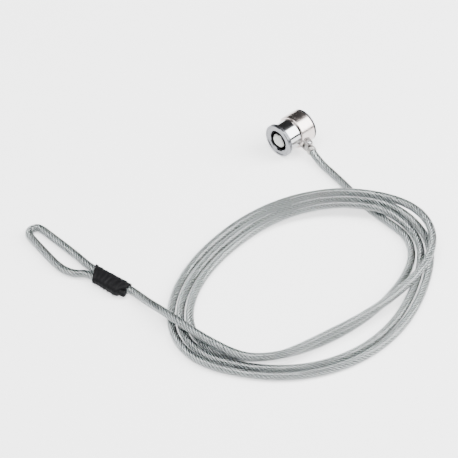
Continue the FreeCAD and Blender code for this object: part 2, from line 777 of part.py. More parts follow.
def coil_point(turns):
    outward = coil_outward(turns)
    angle = math.radians(-360 * turns)
    x = cell("coil_centre_x").value + (cell("coil_half_length").value + outward) * math.cos(angle)
    y = cell("coil_centre_y").value + (cell("coil_half_width").value + outward) * math.sin(angle)
    return Vector(x, y, CABLE_R + LAYER * coil_rise(turns))


def coil_way(turns):
    nudge = 0.001
    return (coil_point(turns + nudge) - coil_point(turns - nudge)).normalize()


def biarc(start, start_way, end, end_way):
    """Two arcs that join two points and keep the given directions there."""
    span = end - start
    ways = start_way + end_way
    bend = 2 * (1 - start_way.dot(end_way))
    reach = span.dot(span) / (4 * span.dot(end_way))
    if bend > 1e-6:
        along = span.dot(ways)
        reach = (math.sqrt(along ** 2 + bend * span.dot(span)) - along) / bend
    first = start + start_way * reach
    second = end - end_way * reach
    meet = (first + second) * 0.5
    return [arc_edge(start, first, meet), arc_edge(meet, second, end)]


def coil_path():
    """The coil's turns in arcs, with a straight end of one diameter at each side."""
    turns = [COIL_FIRST + (COIL_LAST - COIL_FIRST) * step / COIL_STEPS for step in range(COIL_STEPS + 1)]
    points = [coil_point(turn) for turn in turns]
    ways = [coil_way(turn) for turn in turns]
    for level in (0, -1):
        ways[level].z = 0
        ways[level].normalize()
    first = points[0]
    last = points[-1]
    first_way = ways[0]
    last_way = ways[-1]
    edges = [Part.LineSegment(first - first_way * CABLE_R * 2, first).toShape()]
    for step in range(COIL_STEPS):
        edges += biarc(points[step], ways[step], points[step + 1], ways[step + 1])
    edges.append(Part.LineSegment(last, last + last_way * CABLE_R * 2).toShape())
    return Part.Wire(edges), first_way, last_way


def least_gap(path):
    """The least clear distance between stretches of a path that are far apart along it."""
    count = 1200
    points = path.discretize(count)
    apart = int(count * CABLE_R * 12 / path.Length)
    nearest = path.Length
    for index, point in enumerate(points):
        for other in points[index + apart:]:
            nearest = min(nearest, point.distanceToPoint(other))
    return nearest - CABLE_R * 2


STRAND_SPACING = CABLE_R * 2 + cell("strand_gap").value
FERRULE_R = CABLE_R + cell("ferrule_wall").value
PRESSED_BANDS = (1, 3, 5)
BAND_SHARE = 1 / 7


def ferrule_turn():
    return Rotation(Vector(0, 0, 1), cell("ferrule_heading").value)


def ferrule_point(along, across=0.0):
    """A point of the ferrule: along it from the end that faces the coil, and across to its left."""
    centre = Vector(cell("ferrule_x").value, cell("ferrule_y").value, FERRULE_R + cell("sleeve_wall").value)
    return centre + ferrule_turn().multVec(Vector(along, across, 0))


def terminal_point(distance):
    return PIN_CENTRE + TERMINAL_WAY * distance


def cables():
    coil, first_way, last_way = coil_path()
    coil_start = coil_point(COIL_FIRST) - first_way * CABLE_R * 2
    coil_end = coil_point(COIL_LAST) + last_way * CABLE_R * 2
    lead_start = terminal_point(cell("terminal_end").value)
    drop = (lead_start.z - CABLE_R) / -TERMINAL_WAY.z
    lead = [
        lead_start,
        lead_start + TERMINAL_WAY * drop,
        Vector(-3.4, -31.0, CABLE_R),
        Vector(-5.4, -43.0, CABLE_R),
        Vector(-7.9, -55.0, CABLE_R),
        Vector(-9.3, -65.0, CABLE_R),
        coil_start - first_way * 5.0,
        coil_start,
    ]
    upper = CABLE_R + LAYER
    tail = [
        coil_end,
        coil_end + last_way * 6.0,
        Vector(-115.6, -112.5, upper),
        Vector(-125.0, -107.4, upper),
        Vector(-132.2, -100.8, upper),
        Vector(-136.0, -91.5, upper),
        Vector(-138.3, -79.0, upper),
        Vector(-139.7, -66.0, upper),
        Vector(-140.6, -50.5, upper),
        Vector(-139.8, -36.2, CABLE_R + 1.6),
        ferrule_point(-7.0),
        ferrule_point(0),
    ]
    length = cell("ferrule_length").value
    loop = [
        ferrule_point(length),
        ferrule_point(length + 10.0),
        Vector(-142.6, 13.5, CABLE_R),
        Vector(-142.5, 22.5, CABLE_R),
        Vector(-142.6, 32.0, CABLE_R),
        Vector(-142.6, 42.3, CABLE_R),
        Vector(-144.2, 44.6, CABLE_R),
        Vector(-146.9, 45.3, CABLE_R),
        Vector(-149.4, 44.1, CABLE_R),
        Vector(-150.7, 41.2, CABLE_R),
        Vector(-151.6, 35.5, CABLE_R),
        Vector(-152.9, 26.5, CABLE_R),
        Vector(-154.2, 17.0, CABLE_R),
        Vector(-154.1, 10.2, CABLE_R),
        Vector(-151.9, 4.6, CABLE_R),
        ferrule_point(length + 7.2, STRAND_SPACING),
        ferrule_point(length, STRAND_SPACING),
    ]
    total = tube("cable_lead", rounded_path(lead, "cable_lead"), TERMINAL_WAY)
    total += tube("cable_coil", coil, first_way)
    total += tube("cable_tail", rounded_path(tail, "cable_tail"), last_way)
    total += tube("cable_loop", rounded_path(loop, "cable_loop"), loop[1] - loop[0])
    heights = [point.z - CABLE_R for point in coil.discretize(2000)]
    print("coil lies from", round(min(heights), 3), "to", round(max(heights), 3), "above the lower layer")
    print("coil least gap to itself", round(least_gap(coil), 2))
    print("cable length", round(total + 2 * length, 0))


def oval(width, height, along, across):
    """An oval ring of straight sides and round ends, square to the ferrule."""
    centre = ferrule_point(along, across)
    turn = ferrule_turn()
    side = turn.multVec(Vector(0, (width - height) / 2, 0))
    outward = turn.multVec(Vector(0, height / 2, 0))
    up = Vector(0, 0, height / 2)
    left = centre + side
    right = centre - side
    return Part.Wire([
        Part.LineSegment(right + up, left + up).toShape(),
        Part.Arc(left + up, left + outward, left - up).toShape(),
        Part.LineSegment(left - up, right - up).toShape(),
        Part.Arc(right - up, right - outward, right + up).toShape(),
    ])


def strand(along, across, radius, length):
    way = ferrule_turn().multVec(Vector(1, 0, 0))
    return Part.makeCylinder(radius, length, ferrule_point(along, across), way)


# The double-barrel ferrule crimped over both strands, with three pressed bands and the cable's cut
# end standing out behind it.
def crimp_ferrule():
    length = cell("ferrule_length").value
    press = cell("ferrule_press").value * 2
    width = STRAND_SPACING + 2 * FERRULE_R
    height = 2 * FERRULE_R
    wide = Part.Face(oval(width, height, 0, STRAND_SPACING / 2))
    pressed = Part.Face(oval(width - press, height - press, 0, STRAND_SPACING / 2))
    way = ferrule_turn().multVec(Vector(1, 0, 0))
    solid = wide.extrude(way * length)
    band = length * BAND_SHARE
    ring = wide.extrude(way * band).cut(pressed.extrude(way * band))
    for number in PRESSED_BANDS:
        moved = ring.copy()
        moved.translate(way * band * number)
        solid = solid.cut(moved)
    end = cell("cut_end_length").value
    cut_end = strand(-end, STRAND_SPACING, cell("cut_end_diameter").value / 2, end + band)
    feature = doc.addObject("Part::Feature", "ferrule_shape")
    feature.Shape = solid.fuse(cut_end).removeSplitter()
    node("crimp_ferrule", feature)


# The black shrink sleeve over the ferrule: it narrows to the single cable at one end, and its mouth is
# slanted at the other.
def ferrule_sleeve():
    length = cell("ferrule_length").value
    wall = cell("sleeve_wall").value
    gap = cell("fit_clearance").value
    end = cell("cut_end_length").value
    middle = STRAND_SPACING / 2
    back = -cell("sleeve_skirt").value
    front = length + cell("sleeve_lip").value
    slant = cell("sleeve_slant").value
    high = 2 * (FERRULE_R + wall - gap)
    broad = STRAND_SPACING + high
    single = 2 * (CABLE_R + wall)
    outside = Part.makeLoft([
        oval(single + gap, single, back, 0),
        oval(broad * 0.75, high * 0.95, back * 0.3, middle * 0.6),
        oval(broad, high, slant * 0.35, middle),
        oval(broad, high, front, middle),
    ], True, True)
    beyond = [(front, -broad), (front, middle - broad / 2), (front - slant, middle + broad / 2),
              (front - slant, broad * 2), (front + broad, broad * 2), (front + broad, -broad)]
    corners = [ferrule_point(along, across) - Vector(0, 0, high) for along, across in beyond]
    wedge = Part.Face(Part.makePolygon(corners + corners[:1])).extrude(Vector(0, 0, high * 2))
    way = ferrule_turn().multVec(Vector(1, 0, 0))
    pocket = Part.Face(oval(STRAND_SPACING + 2 * FERRULE_R + gap, 2 * FERRULE_R + gap, -gap, middle))
    inside = pocket.extrude(way * (length + 2 * gap))
    main = strand(back - 1, 0, CABLE_R + gap, front - back + 2)
    returning = strand(length - 1, STRAND_SPACING, CABLE_R + gap, front - length + 2)
    stub = strand(-end - 1, STRAND_SPACING, cell("cut_end_diameter").value / 2 + gap, end + 2)
    solid = outside
    for tool in (wedge, inside, main, returning, stub):
        solid = solid.cut(tool)
    feature = doc.addObject("Part::Feature", "sleeve_shape")
    feature.Shape = solid.removeSplitter()
    node("ferrule_sleeve", feature)


front_bezel()
lock_barrel()
pin_housing()
roll_pin()
nose_plate()
key_plug()
pin_stacks()
t_bar()
core_clip()
stop_pin()
swivel_collar()
tail_pin()
cable_terminal()
cables()
crimp_ferrule()
ferrule_sleeve()
doc.recompute()

for item in doc.Objects:
    if "Invalid" in item.State or "Error" in item.State:
        raise RuntimeError(f"{item.Name} did not build: {item.State}")

os.makedirs("parts", exist_ok=True)
for name, item in nodes.items():
    shape = item.Shape
    if shape.isNull() or not shape.isValid():
        raise RuntimeError(f"{name} has no valid shape")
    print(name, "solids", len(shape.Solids), "volume", round(shape.Volume, 2))
    shape.exportStep(f"parts/{name}.step")
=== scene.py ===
# %% [markdown]
# # A cable lock, piece by piece
#
# The lock is a round metal head, whose T-shaped bar goes into a small slot, and a coated steel cable that
# lies coiled on the table and ends in an eye loop. The CAD model is packed already, and it is loaded here
# as a fixed frame. It could be shown as it is, but its edges are sharp and its cable is a plain tube, so
# each step below dresses one piece of it and leaves the frame where it stands.

# %% Load the frame
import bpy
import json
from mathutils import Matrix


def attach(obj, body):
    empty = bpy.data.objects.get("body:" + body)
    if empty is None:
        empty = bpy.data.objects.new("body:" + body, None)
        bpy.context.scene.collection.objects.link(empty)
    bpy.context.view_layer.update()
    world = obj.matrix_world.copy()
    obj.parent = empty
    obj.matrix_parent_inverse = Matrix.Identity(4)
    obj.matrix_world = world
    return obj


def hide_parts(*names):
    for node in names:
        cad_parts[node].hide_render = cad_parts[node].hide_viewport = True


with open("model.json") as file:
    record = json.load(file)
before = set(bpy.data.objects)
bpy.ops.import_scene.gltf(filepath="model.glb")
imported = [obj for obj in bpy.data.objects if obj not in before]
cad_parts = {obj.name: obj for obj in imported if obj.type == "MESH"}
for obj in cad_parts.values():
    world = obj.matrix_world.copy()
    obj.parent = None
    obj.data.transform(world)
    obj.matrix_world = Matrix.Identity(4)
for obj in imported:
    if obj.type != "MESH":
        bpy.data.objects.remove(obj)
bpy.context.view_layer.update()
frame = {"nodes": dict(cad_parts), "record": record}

# %% Bring in the tools
import json
import math

import bmesh
import bpy
import numpy as np
from mathutils import Matrix, Vector

MM = 0.001


def add_object(name, data):
    """Put a mesh, curve, light or camera into the scene as an object."""
    made = bpy.data.objects.new(name, data)
    bpy.context.scene.collection.objects.link(made)
    return made


print("Sizes below are in millimetres, and one of them is", MM, "of Blender's metres")

# %% [markdown]
# ## The camera
#
# The photograph looks down on the table at about forty degrees, across the coil towards the head. A
# camera can be placed by eye, but a place worked out once from the picture keeps every comparison
# honest. The camera stands where the picture was taken from, aims at the middle of the lock and uses a
# long lens, so that the lock fills the frame.

# %% Set up the camera
CAMERA_PLACE = Vector((-0.6993, -0.6875, 0.8474))
LOOK_AT = Vector((-0.0747, -0.0267, 0.005))
LENS = 190.0
SENSOR_WIDTH = 36.0

camera = add_object("camera", bpy.data.cameras.new("camera"))
camera.data.lens = LENS
camera.data.sensor_width = SENSOR_WIDTH
camera.location = CAMERA_PLACE
camera.rotation_euler = (LOOK_AT - CAMERA_PLACE).to_track_quat("-Z", "Y").to_euler()
bpy.context.scene.camera = camera
print("The camera is", round((LOOK_AT - CAMERA_PLACE).length, 2), "m from the lock")

# %% [markdown]
# ## The cable's route
#
# The real cable is one piece, almost 1.6 m long and 4.2 mm thick. It drops from the terminal to the
# table, runs out, makes a little over three turns of an oval coil, and comes back over itself to a
# crimped sleeve, where it folds round into an eye and ends inside the crimp. A route could be drawn as
# straight runs with rounded corners, but cable never lies like that. A NURBS spline bends smoothly
# between a few points, as a stiff cable does, so the route is a list of such points.

# %% The lead, from the terminal to the coil
CABLE_RADIUS = 2.1
LAYER_HEIGHT = 4.8
LOW = CABLE_RADIUS
HIGH = LOW + LAYER_HEIGHT
CABLE_EXIT = (-0.635, -13.031, 4.334)

lead = [
    CABLE_EXIT,
    (-2.0, -19.9, LOW),
    (-3.4, -31.0, LOW),
    (-5.4, -43.0, LOW),
    (-7.9, -55.0, LOW),
    (-9.3, -65.0, LOW),
]
print("The lead has", len(lead), "points")

# %% [markdown]
# ## The coil
#
# The coil is an oval about 155 mm long. Its turns lie side by side, each a cable's width further out. They
# step up over the lead where they cross it, and bow towards the middle there. At the lower right the
# second and third turns fan out, and the last part of a turn stays on top and draws in over them. The
# points could be typed, but a formula says the same in a few lines and is easier to change. Places along
# the coil are counted in turns, so that 1.5 is halfway round the second turn.

# %% The oval's size
COIL_MIDDLE = (-69.3, -77.4)
COIL_HALF_LENGTH = 67.1
COIL_HALF_WIDTH = 39.1
TURN_SPACING = 4.8
COIL_FIRST = 0.03
COIL_LAST = 3.3
COIL_TURNS = COIL_LAST - COIL_FIRST
COIL_STEPS = 132
print("The coil makes", round(COIL_TURNS, 2), "turns")

# %% The steps over the lead
CROSSINGS = (0.925, 1.925, 2.925)
CROSSING_TOP = 0.018
RISE_REACH = 0.2
FALL_REACH = 0.13


def swell(away, reach):
    """A smooth swell: 1 in its middle and 0 from its reach on."""
    return 0.5 + 0.5 * math.cos(math.pi * min(1.0, away / reach))


def climb(turns):
    """How far the cable has climbed to the second layer, from 0 to 1. After the last crossing it stays."""
    if turns > CROSSINGS[-1]:
        return 1.0
    height = 0.0
    for top in CROSSINGS:
        reach = FALL_REACH if turns > top else RISE_REACH
        height = max(height, swell(max(0.0, abs(turns - top) - CROSSING_TOP), reach))
    return height


print("Halfway to its first crossing the cable has climbed", round(climb(CROSSINGS[0] - RISE_REACH / 2), 2))

# %% The bow, the fan and the last turn
BOW = 9.8
BOW_MIDDLE = 0.949
BOW_REACH = 0.2
FAN = 9.9
FAN_MIDDLE = 0.285
FAN_REACH = 0.17
DRAW_FROM = 3.0
DRAW_OVER = 0.3
DRAW_TO = 0.45


def outward(turns):
    """How far outside the first turn's oval the cable lies."""
    spread = turns
    if turns > DRAW_FROM:
        spread = DRAW_TO + (DRAW_FROM - DRAW_TO) * swell(turns - DRAW_FROM, DRAW_OVER)
    distance = TURN_SPACING * spread
    if 1 < turns < DRAW_FROM:
        distance += FAN * swell(abs(turns % 1 - FAN_MIDDLE), FAN_REACH)
    return distance - BOW * swell(abs((turns - BOW_MIDDLE + 0.5) % 1 - 0.5), BOW_REACH)


print("At its widest the fan lies", round(outward(2 + FAN_MIDDLE), 1), "mm outside the first turn")

# %% The coil's points
def coil_point(turns):
    """The place of the cable after so many turns, clockwise from the coil's right end."""
    angle = math.radians(-360 * turns)
    x = COIL_MIDDLE[0] + (COIL_HALF_LENGTH + outward(turns)) * math.cos(angle)
    y = COIL_MIDDLE[1] + (COIL_HALF_WIDTH + outward(turns)) * math.sin(angle)
    return (x, y, LOW + LAYER_HEIGHT * climb(turns))


coil = [coil_point(COIL_FIRST + COIL_TURNS * step / COIL_STEPS) for step in range(COIL_STEPS + 1)]
print("The coil has", len(coil), "points, or", round(COIL_STEPS / COIL_TURNS), "to a turn")

# %% [markdown]
# ## The tail and the eye
#
# Both strands of the eye lie side by side in the crimp. The eye could be a ready-made ring, but on the
# real lock it is the same cable, so the route goes on through it. The crimp's place and heading are named
# once, and the points in and beside it are measured from there, so that the cable can't slip out of its
# sleeve.

# %% The crimp
CRIMP_PLACE = Vector((-140.4, -19.3, 2.8))
CRIMP_HEADING = math.radians(98.0)
CRIMP_LENGTH = 13.0
STRAND_SPACING = 4.5
crimp_forward = Vector((math.cos(CRIMP_HEADING), math.sin(CRIMP_HEADING), 0))
crimp_left = Vector((-math.sin(CRIMP_HEADING), math.cos(CRIMP_HEADING), 0))


def in_crimp(along, across=0.0, up=0.0):
    """A place measured from the crimp's near end: along it, to its left and up."""
    return tuple(CRIMP_PLACE + crimp_forward * along + crimp_left * across + Vector((0, 0, up)))


print("The crimp's far end is at", [round(side, 1) for side in in_crimp(CRIMP_LENGTH)])

# %% The tail and the eye
tail = [
    (-115.6, -112.5, HIGH),
    (-125.0, -107.4, HIGH),
    (-132.2, -100.8, HIGH),
    (-136.0, -91.5, HIGH),
    (-138.3, -79.0, HIGH),
    (-139.7, -66.0, HIGH),
    (-140.6, -50.5, HIGH),
    (-139.8, -36.2, LOW + LAYER_HEIGHT / 3),
    in_crimp(-7.0),
    in_crimp(0.0),
    in_crimp(CRIMP_LENGTH),
]
eye = [
    in_crimp(23.0),
    (-142.6, 13.5, LOW),
    (-142.5, 22.5, LOW),
    (-142.6, 32.0, LOW),
    (-142.6, 42.3, LOW),
    (-144.2, 44.6, LOW),
    (-146.9, 45.3, LOW),
    (-149.4, 44.1, LOW),
    (-150.7, 41.2, LOW),
    (-151.6, 35.5, LOW),
    (-152.9, 26.5, LOW),
    (-154.2, 17.0, LOW),
    (-154.1, 10.2, LOW),
    (-151.9, 4.6, LOW),
    in_crimp(20.2, STRAND_SPACING),
    in_crimp(CRIMP_LENGTH, STRAND_SPACING),
    in_crimp(4.0, STRAND_SPACING),
]
print("The tail has", len(tail), "points and the eye", len(eye))

# %% [markdown]
# ## The clear coat
#
# The cable's outer skin is clear vinyl. It could be a mesh swept along the route, but a curve can carry a
# round section itself, as its bevel, and stays easy to bend. Order 3 lets each stretch bend with its
# neighbours, and the end points are kept, so that the cable starts in its terminal. Both are set after
# the points, because they are lost if set before. Before the skin goes on, the curve is read once as a
# bare line, which the strands will follow.

# %% Draw the spline
SPLINE_STEPS = 12


def spline_curve(name, points):
    """A smooth curve object that is steered by points in millimetres."""
    curve = bpy.data.curves.new(name, "CURVE")
    curve.dimensions = "3D"
    spline = curve.splines.new("NURBS")
    spline.points.add(len(points) - 1)
    for knot, place in zip(spline.points, points):
        knot.co = (place[0] * MM, place[1] * MM, place[2] * MM, 1.0)
    spline.order_u = 3
    spline.use_endpoint_u = True
    curve.resolution_u = SPLINE_STEPS
    return add_object(name, curve)


cable_coat = spline_curve("cable_coat", lead + coil + tail + eye)
print("The spline has", len(cable_coat.data.splines[0].points), "points")

# %% Read its line, then give it its skin
SKIN_STEPS = 7

bpy.context.view_layer.update()
bare_cable = cable_coat.evaluated_get(bpy.context.evaluated_depsgraph_get())
centre_mesh = bpy.data.meshes.new_from_object(bare_cable)
centreline = np.array([vertex.co for vertex in centre_mesh.vertices])
bpy.data.meshes.remove(centre_mesh)
steps_along = np.linalg.norm(np.diff(centreline, axis=0), axis=1)
cable_length = float(steps_along.sum())
cable_coat.data.bevel_depth = CABLE_RADIUS * MM
cable_coat.data.bevel_resolution = SKIN_STEPS
cable_coat.data.use_fill_caps = True
print("The cable measures", round(cable_length, 3), "m")

# %% [markdown]
# ## The strands inside
#
# Under the coat lies a steel rope: seven strands twisted round a core, and each strand is itself a
# bundle of wires. A picture of a twist on a smooth tube would not catch the light, and it would show at
# a close look. So each strand is a real helix with a scalloped section, whose ridges are the wires. They
# run along the rope, as they do in a rope whose wires are laid against its strands. The helix follows
# the line that was read from the cable's own spline.

# %% Even steps along the cable, with a frame that doesn't twist
RIB_STEP = 0.8 * MM

travelled = np.concatenate([[0.0], np.cumsum(steps_along)])
stations = np.linspace(0.0, cable_length, int(cable_length / RIB_STEP) + 1)
spine = np.stack([np.interp(stations, travelled, centreline[:, axis]) for axis in range(3)], axis=1)
ahead = np.gradient(spine, axis=0)
ahead /= np.linalg.norm(ahead, axis=1)[:, None]
sideways = np.zeros_like(spine)
sideways[0] = np.cross(ahead[0], (0, 0, 1))
sideways[0] /= np.linalg.norm(sideways[0])
for index in range(1, len(spine)):
    carried = sideways[index - 1] - ahead[index] * np.dot(sideways[index - 1], ahead[index])
    sideways[index] = carried / np.linalg.norm(carried)
upwards = np.cross(ahead, sideways)
print("The strands are laid in", len(spine), "steps")

# %% A bundle of wires
LAY_LENGTH = 15.0
WIRES = 6
WIRE_RIDGE = 0.07
SECTION_CORNERS = 24


def shade_smooth(mesh):
    mesh.polygons.foreach_set("use_smooth", [True] * len(mesh.polygons))


def wire_bundle(name, strands):
    """A mesh of scalloped tubes, each given by (distance from the middle, start, radius)."""
    turn = 2 * np.pi * stations / (LAY_LENGTH * MM)
    around = np.linspace(0, 2 * np.pi, SECTION_CORNERS, endpoint=False)
    scallop = 1 + WIRE_RIDGE * np.cos(WIRES * around)
    across = np.cos(around)[None, :, None] * sideways[:, None, :]
    across = across + np.sin(around)[None, :, None] * upwards[:, None, :]
    row = np.arange(SECTION_CORNERS)
    following = (row + 1) % SECTION_CORNERS
    places = []
    faces = []
    for distance, start, radius in strands:
        out = np.cos(turn + start)[:, None] * sideways + np.sin(turn + start)[:, None] * upwards
        middle = spine + distance * MM * out
        first = sum(len(block) for block in places)
        rings = middle[:, None, :] + radius * MM * scallop[None, :, None] * across
        places.append(rings.reshape(-1, 3))
        for index in range(len(spine) - 1):
            here = first + index * SECTION_CORNERS
            there = here + SECTION_CORNERS
            band = [here + row, here + following, there + following, there + row]
            faces += np.stack(band, axis=1).tolist()
    mesh = bpy.data.meshes.new(name)
    mesh.from_pydata(np.concatenate(places).tolist(), [], faces)
    shade_smooth(mesh)
    mesh.update()
    return add_object(name, mesh)


print("Each strand shows", WIRES, "wires and goes round once in", LAY_LENGTH, "mm")

# %% Lay the rope
STRAND_COUNT = 7
STRAND_RADIUS = 0.50
HELIX_RADIUS = 1.40
CORE_RADIUS = 1.20

strand_angles = [2 * math.pi * number / STRAND_COUNT for number in range(STRAND_COUNT)]
strands = [(HELIX_RADIUS, angle, STRAND_RADIUS) for angle in strand_angles]
cable_strands = wire_bundle("cable_strands", strands)
# The core is near-black as painted shade in the gaps between the strands.
cable_core = wire_bundle("cable_core", [(0.0, 0.0, CORE_RADIUS)])
print("The rope has", len(cable_strands.data.vertices), "corners")

# %% [markdown]
# ## Turning
#
# Most of the head was turned on a lathe. Blender's screw modifier could do that too, but a short helper
# that spins a profile gives clean rings of faces, and it takes its numbers as a drawing does: distance
# along the axis from the front of the head, and radius.

# %% The head's place, and a way to put a shape into the scene
HEAD_FRONT = Vector((-12.05, 2.1, 9.25))
HEAD = Matrix.Translation(HEAD_FRONT * MM)


def as_piece(name, shape, place):
    """Put a bmesh into the scene as a smooth-shaded object."""
    bmesh.ops.recalc_face_normals(shape, faces=shape.faces[:])
    shape.transform(place)
    mesh = bpy.data.meshes.new(name)
    shape.to_mesh(mesh)
    shape.free()
    shade_smooth(mesh)
    return add_object(name, mesh)


print("The middle of the head's front is", round(HEAD_FRONT.z, 2), "mm above the table")

# %% A lathe
TURNED_STEPS = 144


def add_turned(shape, profile, steps=TURNED_STEPS, turn=Matrix()):
    """Spin a profile of (distance along, radius) about the local X axis."""
    rings = []
    for along, radius in profile:
        ring = []
        for step in range(steps if radius > 0 else 1):
            angle = 2 * math.pi * step / steps
            place = Vector((along, radius * math.cos(angle), radius * math.sin(angle))) * MM
            ring.append(shape.verts.new(turn @ place))
        rings.append(ring)
    pairs = list(zip(rings, rings[1:]))
    if len(rings[0]) > 1:
        pairs.append((rings[-1], rings[0]))
    for here, there in pairs:
        for step in range(steps):
            after = (step + 1) % steps
            corners = [
                here[step % len(here)],
                here[after % len(here)],
                there[after % len(there)],
                there[step % len(there)],
            ]
            shape.faces.new(list(dict.fromkeys(corners)))


def turned(name, profile, place=HEAD, steps=TURNED_STEPS):
    """A piece that comes off the lathe finished."""
    shape = bmesh.new()
    add_turned(shape, profile, steps)
    return as_piece(name, shape, place)


print("A turned piece gets", TURNED_STEPS, "steps round its axis")

# %% [markdown]
# ## Lofting, milling and filing
#
# Some pieces aren't round: the bar's cross piece, the ears, the prongs and the soft sleeve. A cube could
# be scaled and cut into each, but all of them are rings of corners joined in a row, so one helper makes
# them all. A boolean modifier is the milling cutter. No real metal edge is perfectly sharp, so a small
# bevel follows, which catches the thin bright line that every machined edge shows. A weighted normal
# modifier after it keeps the flat faces looking flat.

# %% A loft and a plate
ARC_STEPS = 24


def add_loft(shape, rings):
    """Join rings of places in millimetres into a closed body."""
    corners = [[shape.verts.new(Vector(place) * MM) for place in ring] for ring in rings]
    shape.faces.new(corners[0][::-1])
    shape.faces.new(corners[-1])
    for here, there in zip(corners, corners[1:]):
        for index in range(len(here)):
            after = (index + 1) % len(here)
            shape.faces.new([here[index], here[after], there[after], there[index]])


def add_plate(shape, outline, low, high):
    """A flat plate with an outline of (x, y) between two heights along the local Z axis."""
    add_loft(shape, [[(x, y, height) for x, y in outline] for height in (low, high)])


def arc(middle, radius, start, sweep, steps=ARC_STEPS):
    """Points along part of a circle, for a plate's outline."""
    points = []
    for step in range(steps + 1):
        angle = start + sweep * step / steps
        points.append((middle[0] + radius * math.cos(angle), middle[1] + radius * math.sin(angle)))
    return points


print("An arc gets", ARC_STEPS, "steps")

# %% A cutter and a file
CUT_FROM = -1.0
SHARP_EDGE = math.radians(32.0)


def cut_out(piece, cutter):
    """Take a cutter's shape out of a piece, and throw the cutter away."""
    cut = piece.modifiers.new("cut", "BOOLEAN")
    cut.operation = "DIFFERENCE"
    cut.solver = "EXACT"
    cut.object = cutter
    bpy.context.view_layer.update()
    carved = bpy.data.meshes.new_from_object(piece.evaluated_get(bpy.context.evaluated_depsgraph_get()))
    piece.modifiers.clear()
    piece.data = carved
    shade_smooth(carved)
    bpy.data.objects.remove(cutter)


def cut_notch(piece, width, depth, low, high):
    """Mill a straight notch into a piece's front, to a depth along the axis and between two heights."""
    half = width / 2
    notch = bmesh.new()
    add_plate(notch, [(CUT_FROM, -half), (depth, -half), (depth, half), (CUT_FROM, half)], low, high)
    cut_out(piece, as_piece("notch_cutter", notch, HEAD))


def file_edges(piece, width, segments=3):
    """Round the sharp edges of a piece, as a file or a tumbler does."""
    bevel = piece.modifiers.new("filed edges", "BEVEL")
    bevel.width = width * MM
    bevel.segments = segments
    bevel.limit_method = "ANGLE"
    bevel.angle_limit = SHARP_EDGE
    bevel.harden_normals = True
    piece.modifiers.new("flat faces stay flat", "WEIGHTED_NORMAL")
    return piece


print("Edges sharper than", round(math.degrees(SHARP_EDGE)), "degrees get rounded")

# %% [markdown]
# ## The key face
#
# The flange is chromed zinc. It has a raised lip round its face, a dark keyway, a rim with two fine
# grooves that give the fingers grip, and a notch at six o'clock that the key's rib enters. A turned
# profile gives all but the notch, which a cutter takes out. The dark lines in the grooves are painted
# reflection and shade, as black rings that lie in them, and the keyway's shade is painted as a thin black
# liner on its wall. Colour that changes within one mesh would do too, but separate pieces keep each finish
# plain.

# %% Turn the flange
HEAD_RADIUS = 9.25
KEYWAY_RADIUS = 5.8
LIP_HEIGHT = 0.3
LIP_WIDTH = 1.1
LIP_SLOPE = 0.3
FRONT_CHAMFER = 0.35
REAR_CHAMFER = 0.18
FLANGE_DEPTH = 2.1
SPIGOT_END = 3.2
SPIGOT_RADIUS = 6.65
GROOVE_STARTS = (0.55, 1.3)
GROOVE_WIDTH = 0.5
GROOVE_SLOPE = 0.15
GROOVE_RADIUS = HEAD_RADIUS - 0.25

groove_profile = []
for start in GROOVE_STARTS:
    groove_profile += [
        (start, HEAD_RADIUS),
        (start + GROOVE_SLOPE, GROOVE_RADIUS),
        (start + GROOVE_WIDTH - GROOVE_SLOPE, GROOVE_RADIUS),
        (start + GROOVE_WIDTH, HEAD_RADIUS),
    ]
flange = turned("flange", [
    (SPIGOT_END, KEYWAY_RADIUS),
    (LIP_HEIGHT + FRONT_CHAMFER, KEYWAY_RADIUS),
    (LIP_HEIGHT, KEYWAY_RADIUS + FRONT_CHAMFER),
    (LIP_HEIGHT, HEAD_RADIUS - LIP_WIDTH - LIP_SLOPE),
    (0.0, HEAD_RADIUS - LIP_WIDTH),
    (0.0, HEAD_RADIUS - FRONT_CHAMFER),
    (FRONT_CHAMFER, HEAD_RADIUS),
    *groove_profile,
    (FLANGE_DEPTH - REAR_CHAMFER, HEAD_RADIUS),
    (FLANGE_DEPTH, HEAD_RADIUS - REAR_CHAMFER),
    (FLANGE_DEPTH, SPIGOT_RADIUS),
    (SPIGOT_END, SPIGOT_RADIUS),
])
print("The flange is", round(flange.dimensions.x / MM, 2), "mm deep with its spigot")

# %% Cut the notch
NOTCH_WIDTH = 1.6
NOTCH_DEPTH = 0.6
NOTCH_END = 4.0
WITHIN_KEYWAY = 4.5

cut_notch(flange, NOTCH_WIDTH, NOTCH_END, -(KEYWAY_RADIUS + NOTCH_DEPTH), -WITHIN_KEYWAY)
file_edges(flange, width=0.09)
print("The flange has", len(flange.data.polygons), "faces")

# %% Paint shade into the rim's grooves
# Black rings in the grooves are painted reflection and shade: the dark lines that grooves show in chrome.
SHADE_RING_MARGIN = 0.08
SHADE_RING_FOOT = GROOVE_RADIUS - 0.05
SHADE_RING_TOP = HEAD_RADIUS - 0.14

shade_ring_shape = bmesh.new()
for start in GROOVE_STARTS:
    shade_ring_from = start + SHADE_RING_MARGIN
    shade_ring_to = start + GROOVE_WIDTH - SHADE_RING_MARGIN
    shade_ring_section = [(shade_ring_from, SHADE_RING_FOOT), (shade_ring_from, SHADE_RING_TOP), (shade_ring_to, SHADE_RING_TOP), (shade_ring_to, SHADE_RING_FOOT)]
    add_turned(shade_ring_shape, shade_ring_section)
groove_shade_rings = as_piece("groove_shade_rings", shade_ring_shape, HEAD)
print("The ink has", len(groove_shade_rings.data.polygons), "faces")

# %% Paint shade on the keyway's wall
# The thin black liner is painted shade deep in the keyway's bore.
LINER_THICKNESS = 0.12
LINER_START = 0.75
LINER_FULL_FROM = 0.9

keyway_shade_liner = turned("keyway_shade_liner", [
    (SPIGOT_END, KEYWAY_RADIUS),
    (LINER_START, KEYWAY_RADIUS),
    (LINER_FULL_FROM, KEYWAY_RADIUS - LINER_THICKNESS),
    (SPIGOT_END, KEYWAY_RADIUS - LINER_THICKNESS),
])
print("The liner is", round(keyway_shade_liner.dimensions.x / MM, 2), "mm deep")
